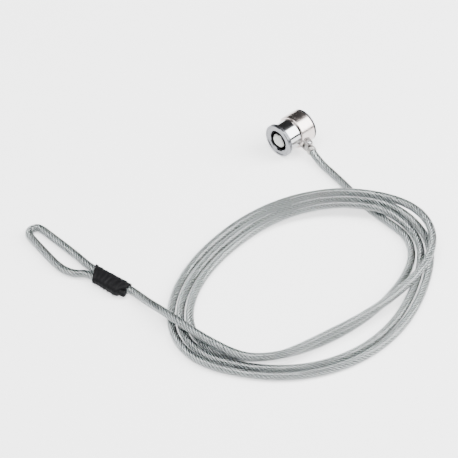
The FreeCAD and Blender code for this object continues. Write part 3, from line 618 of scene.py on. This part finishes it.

# %% [markdown]
# ## The barrel and the nose plate
#
# Behind the flange a plain chromed barrel narrows to a bearing for the ring. At the very back a black
# plate bears on the thing that the lock guards, with two short prongs that enter its slot beside the bar.
# Its black is painted reflection and shade for the dark edge at the back of the lock.
# The barrel and the plate are turned. The prongs could be cut from a thicker plate, but they are small
# lofts set on it, because that needs no cutter.

# %% Turn the barrel
BARREL_RADIUS = 8.0
BARREL_CHAMFER = 0.21
BARREL_END = 19.1
BEARING_RADIUS = 7.6
BEARING_START = 10.1
HOUSING_BORE = 6.7
HOUSING_END = 12.65
POCKET_RADIUS = 4.2
WEB_START = 14.35
WEB_END = 17.65
SHAFT_HOLE = 2.15
HUB_HOLE = 5.05

barrel = turned("barrel", [
    (FLANGE_DEPTH, HOUSING_BORE),
    (FLANGE_DEPTH, BARREL_RADIUS - BARREL_CHAMFER),
    (FLANGE_DEPTH + BARREL_CHAMFER, BARREL_RADIUS),
    (BEARING_START - BARREL_CHAMFER, BARREL_RADIUS),
    (BEARING_START, BARREL_RADIUS - BARREL_CHAMFER),
    (BEARING_START, BEARING_RADIUS),
    (BARREL_END, BEARING_RADIUS),
    (BARREL_END, HUB_HOLE),
    (WEB_END, HUB_HOLE),
    (WEB_END, SHAFT_HOLE),
    (WEB_START, SHAFT_HOLE),
    (WEB_START, POCKET_RADIUS),
    (HOUSING_END, POCKET_RADIUS),
    (HOUSING_END, HOUSING_BORE),
])
file_edges(barrel, width=0.08)
print("The barrel is", round(barrel.dimensions.y / MM, 1), "mm across")

# %% Turn the nose plate
NOSE_RADIUS = 9.0
NOSE_FRONT = 19.2
NOSE_BACK = 20.3
NOSE_CHAMFER = 0.2
HUB_RADIUS = 5.0
HUB_START = 17.7
SHAFT_BORE = 2.1

nose_shape = bmesh.new()
add_turned(nose_shape, [
    (HUB_START, SHAFT_BORE),
    (HUB_START, HUB_RADIUS),
    (NOSE_FRONT, HUB_RADIUS),
    (NOSE_FRONT, NOSE_RADIUS - NOSE_CHAMFER),
    (NOSE_FRONT + NOSE_CHAMFER, NOSE_RADIUS),
    (NOSE_BACK - NOSE_CHAMFER, NOSE_RADIUS),
    (NOSE_BACK, NOSE_RADIUS - NOSE_CHAMFER),
    (NOSE_BACK, SHAFT_BORE),
])
print("The nose plate is", round(NOSE_BACK - NOSE_FRONT, 2), "mm thick")

# %% Set the prongs on it
PRONG_FOOT = 19.9
PRONG_TIP = 22.25
PRONG_HALF = [(2.2, 1.25), (3.05, 1.25), (3.25, 0.9)]
PRONG_OUTLINE = [*PRONG_HALF, (3.3, 0.0), *[(y, -z) for y, z in reversed(PRONG_HALF)]]

for side in (-1, 1):
    levels = [[(along, side * y, z) for y, z in PRONG_OUTLINE] for along in (PRONG_FOOT, PRONG_TIP)]
    add_loft(nose_shape, levels)
nose_disc = file_edges(as_piece("nose_disc", nose_shape, HEAD), width=0.12)
print("The prongs stand", round(PRONG_TIP - NOSE_BACK, 2), "mm out of the plate")

# %% [markdown]
# ## The T-bar
#
# The bar on the end of the shaft goes through the slot and turns across it. It was ground from one rod,
# so its ends are round. A plain box across the shaft would come close, but the light on its round ends
# is what shows at the back, so the shaft is turned and the bar is a loft whose ends follow the rod.

# %% Turn the shaft
BAR_FRONT = 22.55
SHAFT_START = 6.55
SHAFT_END = 20.25
SHAFT_RADIUS = 2.0
NECK_RADIUS = 1.25
NECK_END = BAR_FRONT + 0.2
SHAFT_STEPS = 96

bar_shape = bmesh.new()
add_turned(bar_shape, [
    (SHAFT_START, 0.0),
    (SHAFT_START, SHAFT_RADIUS),
    (SHAFT_END, SHAFT_RADIUS),
    (SHAFT_END, NECK_RADIUS),
    (NECK_END, NECK_RADIUS),
    (NECK_END, 0.0),
], SHAFT_STEPS)
print("The shaft is", round(SHAFT_END - SHAFT_START, 1), "mm long without its neck")

# %% Add the bar across it
BAR_SPAN = 6.4
BAR_WIDTH = 2.6
BAR_BACK = BAR_FRONT + 1.6
BAR_END_STEPS = 12

end_angle = math.asin(BAR_WIDTH / BAR_SPAN)
bar_rim = []
for middle in (math.pi / 2, -math.pi / 2):
    bar_rim += arc((0.0, 0.0), BAR_SPAN / 2, middle - end_angle, 2 * end_angle, BAR_END_STEPS)
bar_levels = [
    (BAR_FRONT, 0.94),
    (BAR_FRONT + 0.2, 1.0),
    (BAR_BACK - 0.45, 1.0),
    (BAR_BACK - 0.15, 0.95),
    (BAR_BACK, 0.84),
]
add_loft(bar_shape, [[(along, y * share, z * share) for y, z in bar_rim] for along, share in bar_levels])
locking_bar = file_edges(as_piece("locking_bar", bar_shape, HEAD), width=0.08)
print("The bar spans", BAR_SPAN, "mm")

# %% [markdown]
# ## The plug and its post
#
# Inside the keyway stands a light round post, and at the bottom seven pins wait for the key. The post
# could be a piece of its own, but it is one casting with the plug, so one profile gives both, with a
# dished front. Its notch is cut as the flange's was. The pins are the CAD's own, which are right
# already, and only get a better metal.

# %% Turn the plug
POST_RADIUS = 4.0
POST_CHAMFER = 0.3
POST_FRONT = 0.55
DISH_FLOOR = 0.7
DISH_RADIUS = 2.6
DISH_SLOPE = 0.3
KEYWAY_FLOOR = 3.25
PLUG_RADIUS = 6.62
PLUG_END = 6.5
PLUG_STEPS = 120

plug = turned("plug", [
    (DISH_FLOOR, 0.0),
    (DISH_FLOOR, DISH_RADIUS),
    (POST_FRONT, DISH_RADIUS + DISH_SLOPE),
    (POST_FRONT, POST_RADIUS - POST_CHAMFER),
    (POST_FRONT + POST_CHAMFER, POST_RADIUS),
    (KEYWAY_FLOOR, POST_RADIUS),
    (KEYWAY_FLOOR, PLUG_RADIUS),
    (PLUG_END, PLUG_RADIUS),
    (PLUG_END, 0.0),
], steps=PLUG_STEPS)
print("The plug is", round(plug.dimensions.x / MM, 2), "mm deep")

# %% Cut its notch and bore its pin holes
POST_NOTCH_WIDTH = 1.5
POST_NOTCH_DEPTH = 0.7
POST_NOTCH_END = 3.2
PIN_COUNT = 7
PIN_SPREAD = 45.0
SIX_OCLOCK = -90.0
PIN_CIRCLE = 4.9
BORE_RADIUS = 0.85
BORE_FROM = 2.9
BORE_TO = 6.7
BORE_STEPS = 24

cut_notch(plug, POST_NOTCH_WIDTH, POST_NOTCH_END, -WITHIN_KEYWAY, -(POST_RADIUS - POST_NOTCH_DEPTH))
bore_section = [(BORE_FROM, 0.0), (BORE_FROM, BORE_RADIUS), (BORE_TO, BORE_RADIUS), (BORE_TO, 0.0)]
for number in range(1, PIN_COUNT + 1):
    angle = math.radians(SIX_OCLOCK + PIN_SPREAD * number)
    shift = Matrix.Translation(Vector((0, PIN_CIRCLE * math.cos(angle), PIN_CIRCLE * math.sin(angle))) * MM)
    cut_out(plug, turned("bore_cutter", bore_section, HEAD @ shift, BORE_STEPS))
file_edges(plug, width=0.05, segments=2)
print("The plug has", len(plug.data.polygons), "faces")

# %% [markdown]
# ## The swivel ring and its fork
#
# The ring at the back turns freely on the barrel, so that the cable never twists. It is wider than the
# barrel and a little warmer in colour. Two ears stand out from it with a rivet through them, and the
# cable's terminal swings between the ears. They were cast with the ring, and broaden where they grow out
# of it, so they could be one mesh with it. But no polishing wheel gets between them, so they are a mesh
# of their own with a duller finish, and a darker colour that is painted shade, low by the head near the
# table.

# %% Turn the ring
RING_START = 10.2
RING_END = 19.1
RING_RADIUS = 9.25
RING_BORE = 7.68
RING_ROUNDING = [(0.0, 0.4), (0.12, 0.15), (0.4, 0.0)]
CAST_ROUNDING = 0.22
FORK_TURN = Matrix.Rotation(math.radians(18.0), 4, "X")

ring_shape = bmesh.new()
add_turned(ring_shape, [
    (RING_START, RING_BORE),
    *[(RING_START + along, RING_RADIUS - inwards) for along, inwards in RING_ROUNDING],
    *[(RING_END - along, RING_RADIUS - inwards) for along, inwards in reversed(RING_ROUNDING)],
    (RING_END, RING_BORE),
])
swivel_ring = file_edges(as_piece("swivel_ring", ring_shape, HEAD @ FORK_TURN), CAST_ROUNDING, segments=4)
print("The ring is", round(RING_END - RING_START, 1), "mm wide")

# %% Add its ears
FORK_STATION = 12.35
FORK_REACH = 11.1
EAR_RADIUS = 2.0
EAR_INNER = 1.65
EAR_OUTER = 2.95
EAR_FOOT = -8.2
EAR_WAIST = -9.4
EAR_FLARE_FRONT = 0.35
EAR_FLARE_BACK = 0.7

ear = [
    (FORK_STATION - EAR_RADIUS - EAR_FLARE_FRONT, EAR_FOOT),
    (FORK_STATION - EAR_RADIUS, EAR_WAIST),
    *arc((FORK_STATION, -FORK_REACH), EAR_RADIUS, math.pi, math.pi),
    (FORK_STATION + EAR_RADIUS, EAR_WAIST),
    (FORK_STATION + EAR_RADIUS + EAR_FLARE_BACK, EAR_FOOT),
]
ear_shape = bmesh.new()
add_plate(ear_shape, ear, EAR_INNER, EAR_OUTER)
add_plate(ear_shape, ear, -EAR_OUTER, -EAR_INNER)
ring_ears = file_edges(as_piece("ring_ears", ear_shape, HEAD @ FORK_TURN), CAST_ROUNDING, segments=4)
print("The ring's ears reach", round(FORK_REACH + EAR_RADIUS, 1), "mm from the axis")

# %% Set the rivet
RIVET_STEPS = 64
RIVET_HALF = [(3.35, 0.0), (3.33, 0.6), (3.24, 1.0), (3.0, 1.3), (3.0, 0.8)]
PIN_PLACE = HEAD @ FORK_TURN @ Matrix.Translation(Vector((FORK_STATION, -FORK_REACH, 0)) * MM)
LIE_ALONG_Z = Matrix.Rotation(math.radians(-90), 4, "Y")

rivet_profile = [(-along, radius) for along, radius in RIVET_HALF] + RIVET_HALF[::-1]
rivet = turned("rivet", rivet_profile, PIN_PLACE @ LIE_ALONG_Z, RIVET_STEPS)
print("The rivet is", 2 * RIVET_HALF[0][0], "mm long")

# %% [markdown]
# ## The cable's terminal
#
# A steel sleeve is pressed over the cable's end, and its flat tongue turns on the rivet. The sleeve was
# squeezed in a die, which leaves two shallow bands round it. The bands could be bump in the material,
# but their edges catch the light, so they are turned with the sleeve. The tongue is a plate, and a short
# taper joins the two.

# %% Make the terminal
TERMINAL_LEAN = Matrix.Rotation(math.radians(-11.0), 4, "Z")
TERMINAL = PIN_PLACE @ TERMINAL_LEAN
TERMINAL_STEPS = 72
OUT_ALONG_Y = Matrix.Rotation(math.radians(-90), 4, "Z")
TONGUE_RADIUS = 1.75
TONGUE_FOOT = -2.7
TONGUE_HALF_THICKNESS = 1.5
PRESSED_RADIUS = 2.7
BAND_RADIUS = 2.56
CABLE_BORE = 2.13

terminal_shape = bmesh.new()
tongue = arc((0.0, 0.0), TONGUE_RADIUS, 0.0, math.pi)
tongue += [(-TONGUE_RADIUS, TONGUE_FOOT), (TONGUE_RADIUS, TONGUE_FOOT)]
add_plate(terminal_shape, tongue, -TONGUE_HALF_THICKNESS, TONGUE_HALF_THICKNESS)
add_turned(terminal_shape, [
    (2.0, 0.0),
    (2.0, 1.7),
    (2.3, 2.16),
    (2.65, 2.55),
    (2.9, PRESSED_RADIUS),
    (3.3, PRESSED_RADIUS),
    (3.45, BAND_RADIUS),
    (3.7, BAND_RADIUS),
    (3.85, PRESSED_RADIUS),
    (4.15, PRESSED_RADIUS),
    (4.3, BAND_RADIUS),
    (4.5, BAND_RADIUS),
    (4.65, 2.66),
    (4.9, 2.46),
    (4.9, CABLE_BORE),
    (4.4, CABLE_BORE),
    (4.4, 0.0),
], TERMINAL_STEPS, OUT_ALONG_Y)
terminal = file_edges(as_piece("terminal", terminal_shape, TERMINAL), width=0.1)
print("The terminal is", round(terminal.dimensions.length / MM, 1), "mm from corner to corner")

# %% [markdown]
# ## The shrunk sleeve
#
# A black plastic sleeve covers the crimp where the eye closes. It was slipped on and shrunk with heat, so
# it shows the crimp's bands, it wrinkles, it opens a little at the eye, and it draws down to one cable at
# the other end. Cloth simulation could shrink a tube on, but the forms are few and known, so it is lofted
# through oval sections, and each section's edge is pushed in and out by a few slow waves that stand for
# the wrinkles. The cable's cut end peeps out beside the cable, under a black cap that is turned like the
# metal pieces.

# %% The sleeve's sections: distance along, place across, width and height
SLEEVE_SECTIONS = [
    (-3.4, 0.0, 5.0, 5.0),
    (-2.7, 0.2, 5.6, 5.2),
    (-1.6, 1.2, 7.9, 5.5),
    (-0.7, 2.1, 10.0, 5.8),
    (0.4, 2.25, 10.5, 5.9),
    (3.0, 2.25, 10.3, 5.85),
    (6.0, 2.25, 10.0, 5.75),
    (9.0, 2.25, 10.2, 5.85),
    (12.5, 2.25, 9.7, 5.7),
    (16.0, 2.25, 9.8, 5.6),
    (20.4, 2.25, 10.3, 5.7),
]
SLEEVE_START = SLEEVE_SECTIONS[0][0]
SLEEVE_MOUTH = SLEEVE_SECTIONS[-1][0]
MOUTH_SLANT = 6.0
SLANT_FROM = 6.0
print("The sleeve is", round(SLEEVE_MOUTH - SLEEVE_START, 1), "mm long")

# %% Its wrinkles: depth, waves along, waves around and start
WRINKLES = [
    (0.10, 1.9, 3, 0.0),
    (0.07, 4.3, -2, 1.0),
    (0.06, 7.1, 5, 2.0),
]
CRIMP_BAND_DEPTH = 0.10
CRIMP_BAND_START = 1.1
CRIMP_BAND_SPACING = 3.7


def ripple(along, angle):
    """How far the skin stands out or in at a place on the sleeve."""
    wrinkle = 0.0
    for depth, waves, times, start in WRINKLES:
        wrinkle += depth * math.sin(waves * along + times * angle + start)
    bands = 2 * math.pi * (along - CRIMP_BAND_START) / CRIMP_BAND_SPACING
    return wrinkle + CRIMP_BAND_DEPTH * math.cos(bands)


print("At its near end the sleeve ripples by", round(ripple(0.0, 0.0), 3), "mm")

# %% Loft the sleeve
SLEEVE_RINGS = 100
SLEEVE_CORNERS = 72
SIDE_CURVE = 0.72
TOP_CURVE = 0.86
TOP_RIPPLE = 0.6
TABLE_GAP = 0.05
MOUTH_LIP = [(0.0, 0.4), (1.2, 0.55)]


def boxier(wave, curve):
    """A sine or cosine with fuller shoulders, which makes an oval a little boxier."""
    return abs(wave) ** curve * math.copysign(1, wave)


def sleeve_rim(along, shrink=0.0):
    """The oval edge of the sleeve at a distance along the crimp, slanted more and more to its mouth."""
    columns = list(zip(*SLEEVE_SECTIONS))
    across, width, height = (float(np.interp(along, columns[0], column)) for column in columns[1:])
    lean = MOUTH_SLANT * max(0.0, (along - SLANT_FROM) / (SLEEVE_MOUTH - SLANT_FROM))
    rim = []
    for step in range(SLEEVE_CORNERS):
        angle = 2 * math.pi * step / SLEEVE_CORNERS
        flat = boxier(math.cos(angle), SIDE_CURVE)
        tall = boxier(math.sin(angle), TOP_CURVE)
        grow = ripple(along, angle) - shrink
        side = across + (width / 2 + grow) * flat
        up = max((height / 2 + TOP_RIPPLE * grow) * tall, TABLE_GAP - CRIMP_PLACE.z)
        rim.append(in_crimp(along - lean * (0.5 + 0.5 * flat), side, up))
    return rim


sleeve_shape = bmesh.new()
ring_step = (SLEEVE_MOUTH - SLEEVE_START) / (SLEEVE_RINGS - 1)
sleeve_rims = [sleeve_rim(SLEEVE_START + ring_step * index) for index in range(SLEEVE_RINGS)]
sleeve_rims += [sleeve_rim(SLEEVE_MOUTH - back, shrink) for back, shrink in MOUTH_LIP]
add_loft(sleeve_shape, sleeve_rims)
shrunk_sleeve = as_piece("shrunk_sleeve", sleeve_shape, Matrix())
print("The sleeve has", len(shrunk_sleeve.data.polygons), "faces")

# %% The cap on the cable's cut end
CAP_STEPS = 48

cap_turn = Matrix.Rotation(CRIMP_HEADING, 4, "Z")
cap_place = Matrix.Translation(Vector(in_crimp(0.0, STRAND_SPACING)) * MM) @ cap_turn
cut_end_cap = turned("cut_end_cap", [
    (-4.8, 0.0),
    (-4.75, 0.8),
    (-4.55, 1.25),
    (-4.2, 1.5),
    (-2.0, 1.6),
    (0.5, 1.9),
    (1.5, 2.0),
    (1.5, 0.0),
], cap_place, CAP_STEPS)
print("The cap measures", round(cut_end_cap.dimensions.length / MM, 1), "mm from corner to corner")

# %% [markdown]
# ## Metals
#
# Chrome, zinc and steel differ in colour, in how blurred their reflections are and in the marks on them.
# Photographs of metal could be wrapped round each piece, but they would carry someone else's light. So
# one recipe covers all of them: a metallic shader whose roughness wanders with a slow noise, and a fine
# noise that stands for grain or tumbling marks as bump. Each metal then sets its own numbers. Deep in the
# keyway little light arrives, so shade is painted into the plug: its colour goes dark from the front
# inwards, almost to black.

# %% Small helpers for shader nodes
def set_sockets(node, values):
    """Set a node's own sockets by name."""
    for socket, value in values.items():
        node.inputs[socket].default_value = value


def add_node(owner, kind, values):
    """Add a node to a material or a world, with values on its own sockets."""
    node = owner.node_tree.nodes.new(kind)
    set_sockets(node, values)
    return node


def connect(owner, source, output, target, socket):
    owner.node_tree.links.new(source.outputs[output], target.inputs[socket])


def shader_of(finish):
    return finish.node_tree.nodes["Principled BSDF"]


def new_finish(name, values):
    """A material whose shader has these values on its own sockets."""
    finish = bpy.data.materials.new(name)
    finish.use_nodes = True
    set_sockets(shader_of(finish), values)
    return finish


card_black = new_finish("card_black", {"Base Color": (0.004, 0.004, 0.004, 1), "Roughness": 1.0})
print("A finish starts as", len(card_black.node_tree.nodes), "nodes")

# %% A recipe for metals
finishes = {}


def metal(name, colour, smoothest, roughest, patch_size=2.0, grain_size=0.15, grain_depth=0.004):
    """A metal with slow patches of polish and a fine grain; its sizes are in millimetres."""
    finish = new_finish(name, {"Base Color": (*colour, 1), "Metallic": 1.0})
    place = add_node(finish, "ShaderNodeTexCoord", {})
    patches = add_node(finish, "ShaderNodeTexNoise", {"Scale": 1 / (patch_size * MM), "Detail": 4.0})
    polish = add_node(finish, "ShaderNodeMapRange", {
        "From Min": 0.3,
        "From Max": 0.7,
        "To Min": smoothest,
        "To Max": roughest,
    })
    grain = add_node(finish, "ShaderNodeTexNoise", {"Scale": 1 / (grain_size * MM)})
    bump = add_node(finish, "ShaderNodeBump", {"Distance": grain_depth * MM})
    connect(finish, place, "Object", patches, "Vector")
    connect(finish, place, "Object", grain, "Vector")
    connect(finish, patches, "Fac", polish, "Value")
    connect(finish, polish, "Result", shader_of(finish), "Roughness")
    connect(finish, grain, "Fac", bump, "Height")
    connect(finish, bump, "Normal", shader_of(finish), "Normal")
    finishes[name] = finish
    return finish


metal("chrome", (0.50, 0.505, 0.515), 0.05, 0.12, grain_depth=0.001)
metal("flange_chrome", (0.23, 0.235, 0.25), 0.12, 0.22, grain_depth=0.001)
metal("polished_collar", (0.56, 0.50, 0.48), 0.16, 0.28, grain_depth=0.001)
# The ears are duller because they are unpolished; their darker colour is painted shade, low by the head
# near the table.
metal("ears_dull_and_shaded", (0.26, 0.245, 0.24), 0.22, 0.36)
metal("satin_zinc", (0.52, 0.525, 0.52), 0.26, 0.38)
# The plug's zinc also gets painted shade deep in the keyway, below.
metal("plug_zinc_and_shade", (0.40, 0.405, 0.39), 0.26, 0.38)
# Black steel is painted shade on the groove rings and the keyway liner, and painted reflection and shade on
# the nose plate.
metal("black_steel", (0.05, 0.05, 0.055), 0.30, 0.45)
metal("hardened_steel", (0.42, 0.42, 0.43), 0.20, 0.34)
metal("spring_steel", (0.45, 0.45, 0.46), 0.22, 0.36)
metal("terminal_steel", (0.40, 0.39, 0.375), 0.22, 0.40, grain_depth=0.006)
metal("pin_steel", (0.62, 0.62, 0.63), 0.18, 0.30)
metal("pin_brass", (0.78, 0.58, 0.28), 0.16, 0.30)
metal("brass", (0.72, 0.54, 0.27), 0.20, 0.34)
metal("ferrule_aluminium", (0.64, 0.64, 0.65), 0.26, 0.42)
metal("rope_steel", (0.48, 0.50, 0.50), 0.30, 0.38, patch_size=4.0)
# The core's near-black colour is painted shade between the strands.
metal("core_painted_shade", (0.15, 0.15, 0.15), 0.40, 0.55)
print("There are", len(finishes), "metals")

# %% Painted shade deep in the keyway
SHADE_FROM = 0.9
SHADE_TO = 1.6
SHADE = (0.01, 0.01, 0.01, 1)


def paint_shade_inwards(finish, outside, inside, dark):
    """Paint shade into a metal's colour: it goes dark between two places along the lock's axis."""
    place = add_node(finish, "ShaderNodeTexCoord", {})
    split = add_node(finish, "ShaderNodeSeparateXYZ", {})
    depth = add_node(finish, "ShaderNodeMapRange", {
        "From Min": HEAD.translation.x + outside * MM,
        "From Max": HEAD.translation.x + inside * MM,
    })
    blend = add_node(finish, "ShaderNodeMix", {})
    blend.data_type = "RGBA"
    set_sockets(blend, {"A": shader_of(finish).inputs["Base Color"].default_value, "B": dark})
    connect(finish, place, "Object", split, "Vector")
    connect(finish, split, "X", depth, "Value")
    connect(finish, depth, "Result", blend, "Factor")
    connect(finish, blend, "Result", shader_of(finish), "Base Color")


paint_shade_inwards(finishes["plug_zinc_and_shade"], SHADE_FROM, SHADE_TO, SHADE)
print("The plug goes dark from", SHADE_FROM, "to", SHADE_TO, "mm deep")

# %% [markdown]
# ## Clear vinyl and black plastic
#
# The coat is clear, slightly grey vinyl. A thin shell of glass would be the textbook way, and here the
# coat is a full tube of clear material round the strands, so it also magnifies them, as the real one
# does. The sleeve is near-black plastic with a soft shine and a fine creased surface, which the metals'
# recipe gives once it is told that it isn't metal.

# %% Mix the plastics
HAZE_SIZE = 3.0

vinyl = new_finish("clear_vinyl", {
    "Base Color": (0.95, 0.97, 0.97, 1),
    "Transmission Weight": 1.0,
    "IOR": 1.45,
})
haze_place = add_node(vinyl, "ShaderNodeTexCoord", {})
haze = add_node(vinyl, "ShaderNodeTexNoise", {"Scale": 1 / (HAZE_SIZE * MM)})
haze_range = add_node(vinyl, "ShaderNodeMapRange", {"To Min": 0.03, "To Max": 0.08})
connect(vinyl, haze_place, "Object", haze, "Vector")
connect(vinyl, haze, "Fac", haze_range, "Value")
connect(vinyl, haze_range, "Result", shader_of(vinyl), "Roughness")
finishes["coated_cable"] = vinyl

sleeve_colour = (0.003, 0.003, 0.0035)
black = metal("black_sleeve", sleeve_colour, 0.50, 0.66, patch_size=1.5, grain_size=0.3, grain_depth=0.02)
set_sockets(shader_of(black), {"Metallic": 0.0, "Specular IOR Level": 0.12})
print("With the plastics there are", len(finishes), "finishes")

# %% [markdown]
# ## Dressing the frame
#
# Each new piece gets its finish, rides on the CAD body that carries it, and stands for the CAD nodes that
# it replaces. That could be written out piece by piece, but one helper makes sure that none of the three
# is forgotten. The nodes that stay visible, such as the pins, get their finish from the same table.

# %% Hand out finishes, bodies and nodes
dressed = []


def dress(piece, slot, body, *nodes, finish=None):
    """Give a piece its finish, the body that it rides on and the CAD nodes that it stands for."""
    dressed.append(piece)
    piece.data.materials.clear()
    piece.data.materials.append(finishes[finish or slot])
    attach(piece, body)
    if nodes:
        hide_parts(*nodes)


dress(flange, "chrome", "lock", "front_bezel", finish="flange_chrome")
# The groove rings and the keyway liner carry painted shade.
dress(groove_shade_rings, "black_steel", "lock")
dress(keyway_shade_liner, "black_steel", "lock")
dress(barrel, "chrome", "lock", "lock_barrel")
dress(nose_disc, "black_steel", "lock", "nose_plate")
dress(locking_bar, "hardened_steel", "core", "t_bar")
dress(plug, "satin_zinc", "core", "key_plug", finish="plug_zinc_and_shade")
dress(swivel_ring, "polished_collar", "swivel", "swivel_collar")
dress(ring_ears, "polished_collar", "swivel", finish="ears_dull_and_shaded")
dress(rivet, "hardened_steel", "swivel", "tail_pin")
dress(terminal, "terminal_steel", "cable", "cable_terminal")
dress(shrunk_sleeve, "black_sleeve", "cable", "ferrule_sleeve")
dress(cut_end_cap, "black_sleeve", "cable")
dress(cable_strands, "coated_cable", "cable", finish="rope_steel")
dress(cable_core, "coated_cable", "cable", finish="core_painted_shade")
dress(cable_coat, "coated_cable", "cable", "cable_lead", "cable_coil", "cable_tail", "cable_loop")
print("Dressed", len(dressed), "new pieces")

slots = {part["node"]: part["material_slot"] for part in frame["record"]["subparts"]}
for name, node in frame["nodes"].items():
    node.data.materials.clear()
    node.data.materials.append(finishes[slots[name]])
print("Dressed", len(frame["nodes"]), "CAD nodes")

# %% [markdown]
# ## The table and the light
#
# The lock was photographed on a white table in soft light. Chrome shows its surroundings rather than a
# colour of its own, so the lights are large: one broad panel above, one to the right that draws the
# bright band along the barrel, and a weak one to the left. A picture of a studio could light the scene
# too, but panels are easier to move. Two black cards stand where the camera can't see them, and give the
# chrome its black bands. The table glows a little, as paper does when it is lit from all sides, and a
# pale sky fills what the panels leave open.

# %% The table
TABLE_REACH = 2.5

floor_shape = bmesh.new()
bmesh.ops.create_grid(floor_shape, x_segments=1, y_segments=1, size=TABLE_REACH)
floor = as_piece("table_top", floor_shape, Matrix())
floor.data.materials.append(new_finish("white_table", {
    "Base Color": (0.90, 0.90, 0.90, 1),
    "Roughness": 0.7,
    "Emission Color": (1.0, 1.0, 1.0, 1),
    "Emission Strength": 1.5,
}))
print("The table is", round(floor.dimensions.x, 1), "m wide")

# %% The lights
def panel(name, place, width, height, power):
    """A flat light that faces the lock."""
    light = bpy.data.lights.new(name, "AREA")
    light.shape = "RECTANGLE"
    light.size = width
    light.size_y = height
    light.energy = power
    lamp = add_object(name, light)
    lamp.location = place
    lamp.rotation_euler = (-Vector(place)).to_track_quat("-Z", "Y").to_euler()


panel("light_above", (-0.3, 0.1, 1.5), 1.0, 1.0, 36.0)
panel("light_right", (0.68, -0.64, 0.84), 0.80, 1.35, 46.0)
panel("light_left", (-1.3, 0.2, 0.9), 0.8, 0.8, 8.0)

# %% The dark cards
def dark_card(name, place, width, height):
    """A black card that only reflections see, as a studio stands behind anything chromed."""
    card_shape = bmesh.new()
    bmesh.ops.create_grid(card_shape, x_segments=1, y_segments=1, size=1)
    bmesh.ops.scale(card_shape, vec=(width / 2, height / 2, 1), verts=card_shape.verts[:])
    facing = (-Vector(place)).to_track_quat("Z", "Y").to_matrix().to_4x4()
    card = as_piece(name, card_shape, Matrix.Translation(place) @ facing)
    card.data.materials.append(card_black)
    card.visible_camera = False
    card.visible_diffuse = False
    card.visible_shadow = False
    return card


card_behind = dark_card("card_behind", (0.45, 0.50, 0.45), 0.8, 0.9)
card_low = dark_card("card_low", (0.50, -0.76, 0.12), 0.8, 0.2)
print("The cards:", card_behind.name, "and", card_low.name)

# %% The sky
sky = bpy.data.worlds.new("sky")
bpy.context.scene.world = sky
sky.use_nodes = True
backdrop = sky.node_tree.nodes["Background"]
sky_place = add_node(sky, "ShaderNodeTexCoord", {})
sky_split = add_node(sky, "ShaderNodeSeparateXYZ", {})
sky_ramp = add_node(sky, "ShaderNodeValToRGB", {})
horizon, zenith = sky_ramp.color_ramp.elements
horizon.color = (0.55, 0.56, 0.58, 1)
zenith.color = (0.9, 0.9, 0.9, 1)
connect(sky, sky_place, "Generated", sky_split, "Vector")
connect(sky, sky_split, "Z", sky_ramp, "Fac")
connect(sky, sky_ramp, "Color", backdrop, "Color")
set_sockets(backdrop, {"Strength": 0.5})
print("The sky's strength is", backdrop.inputs["Strength"].default_value)
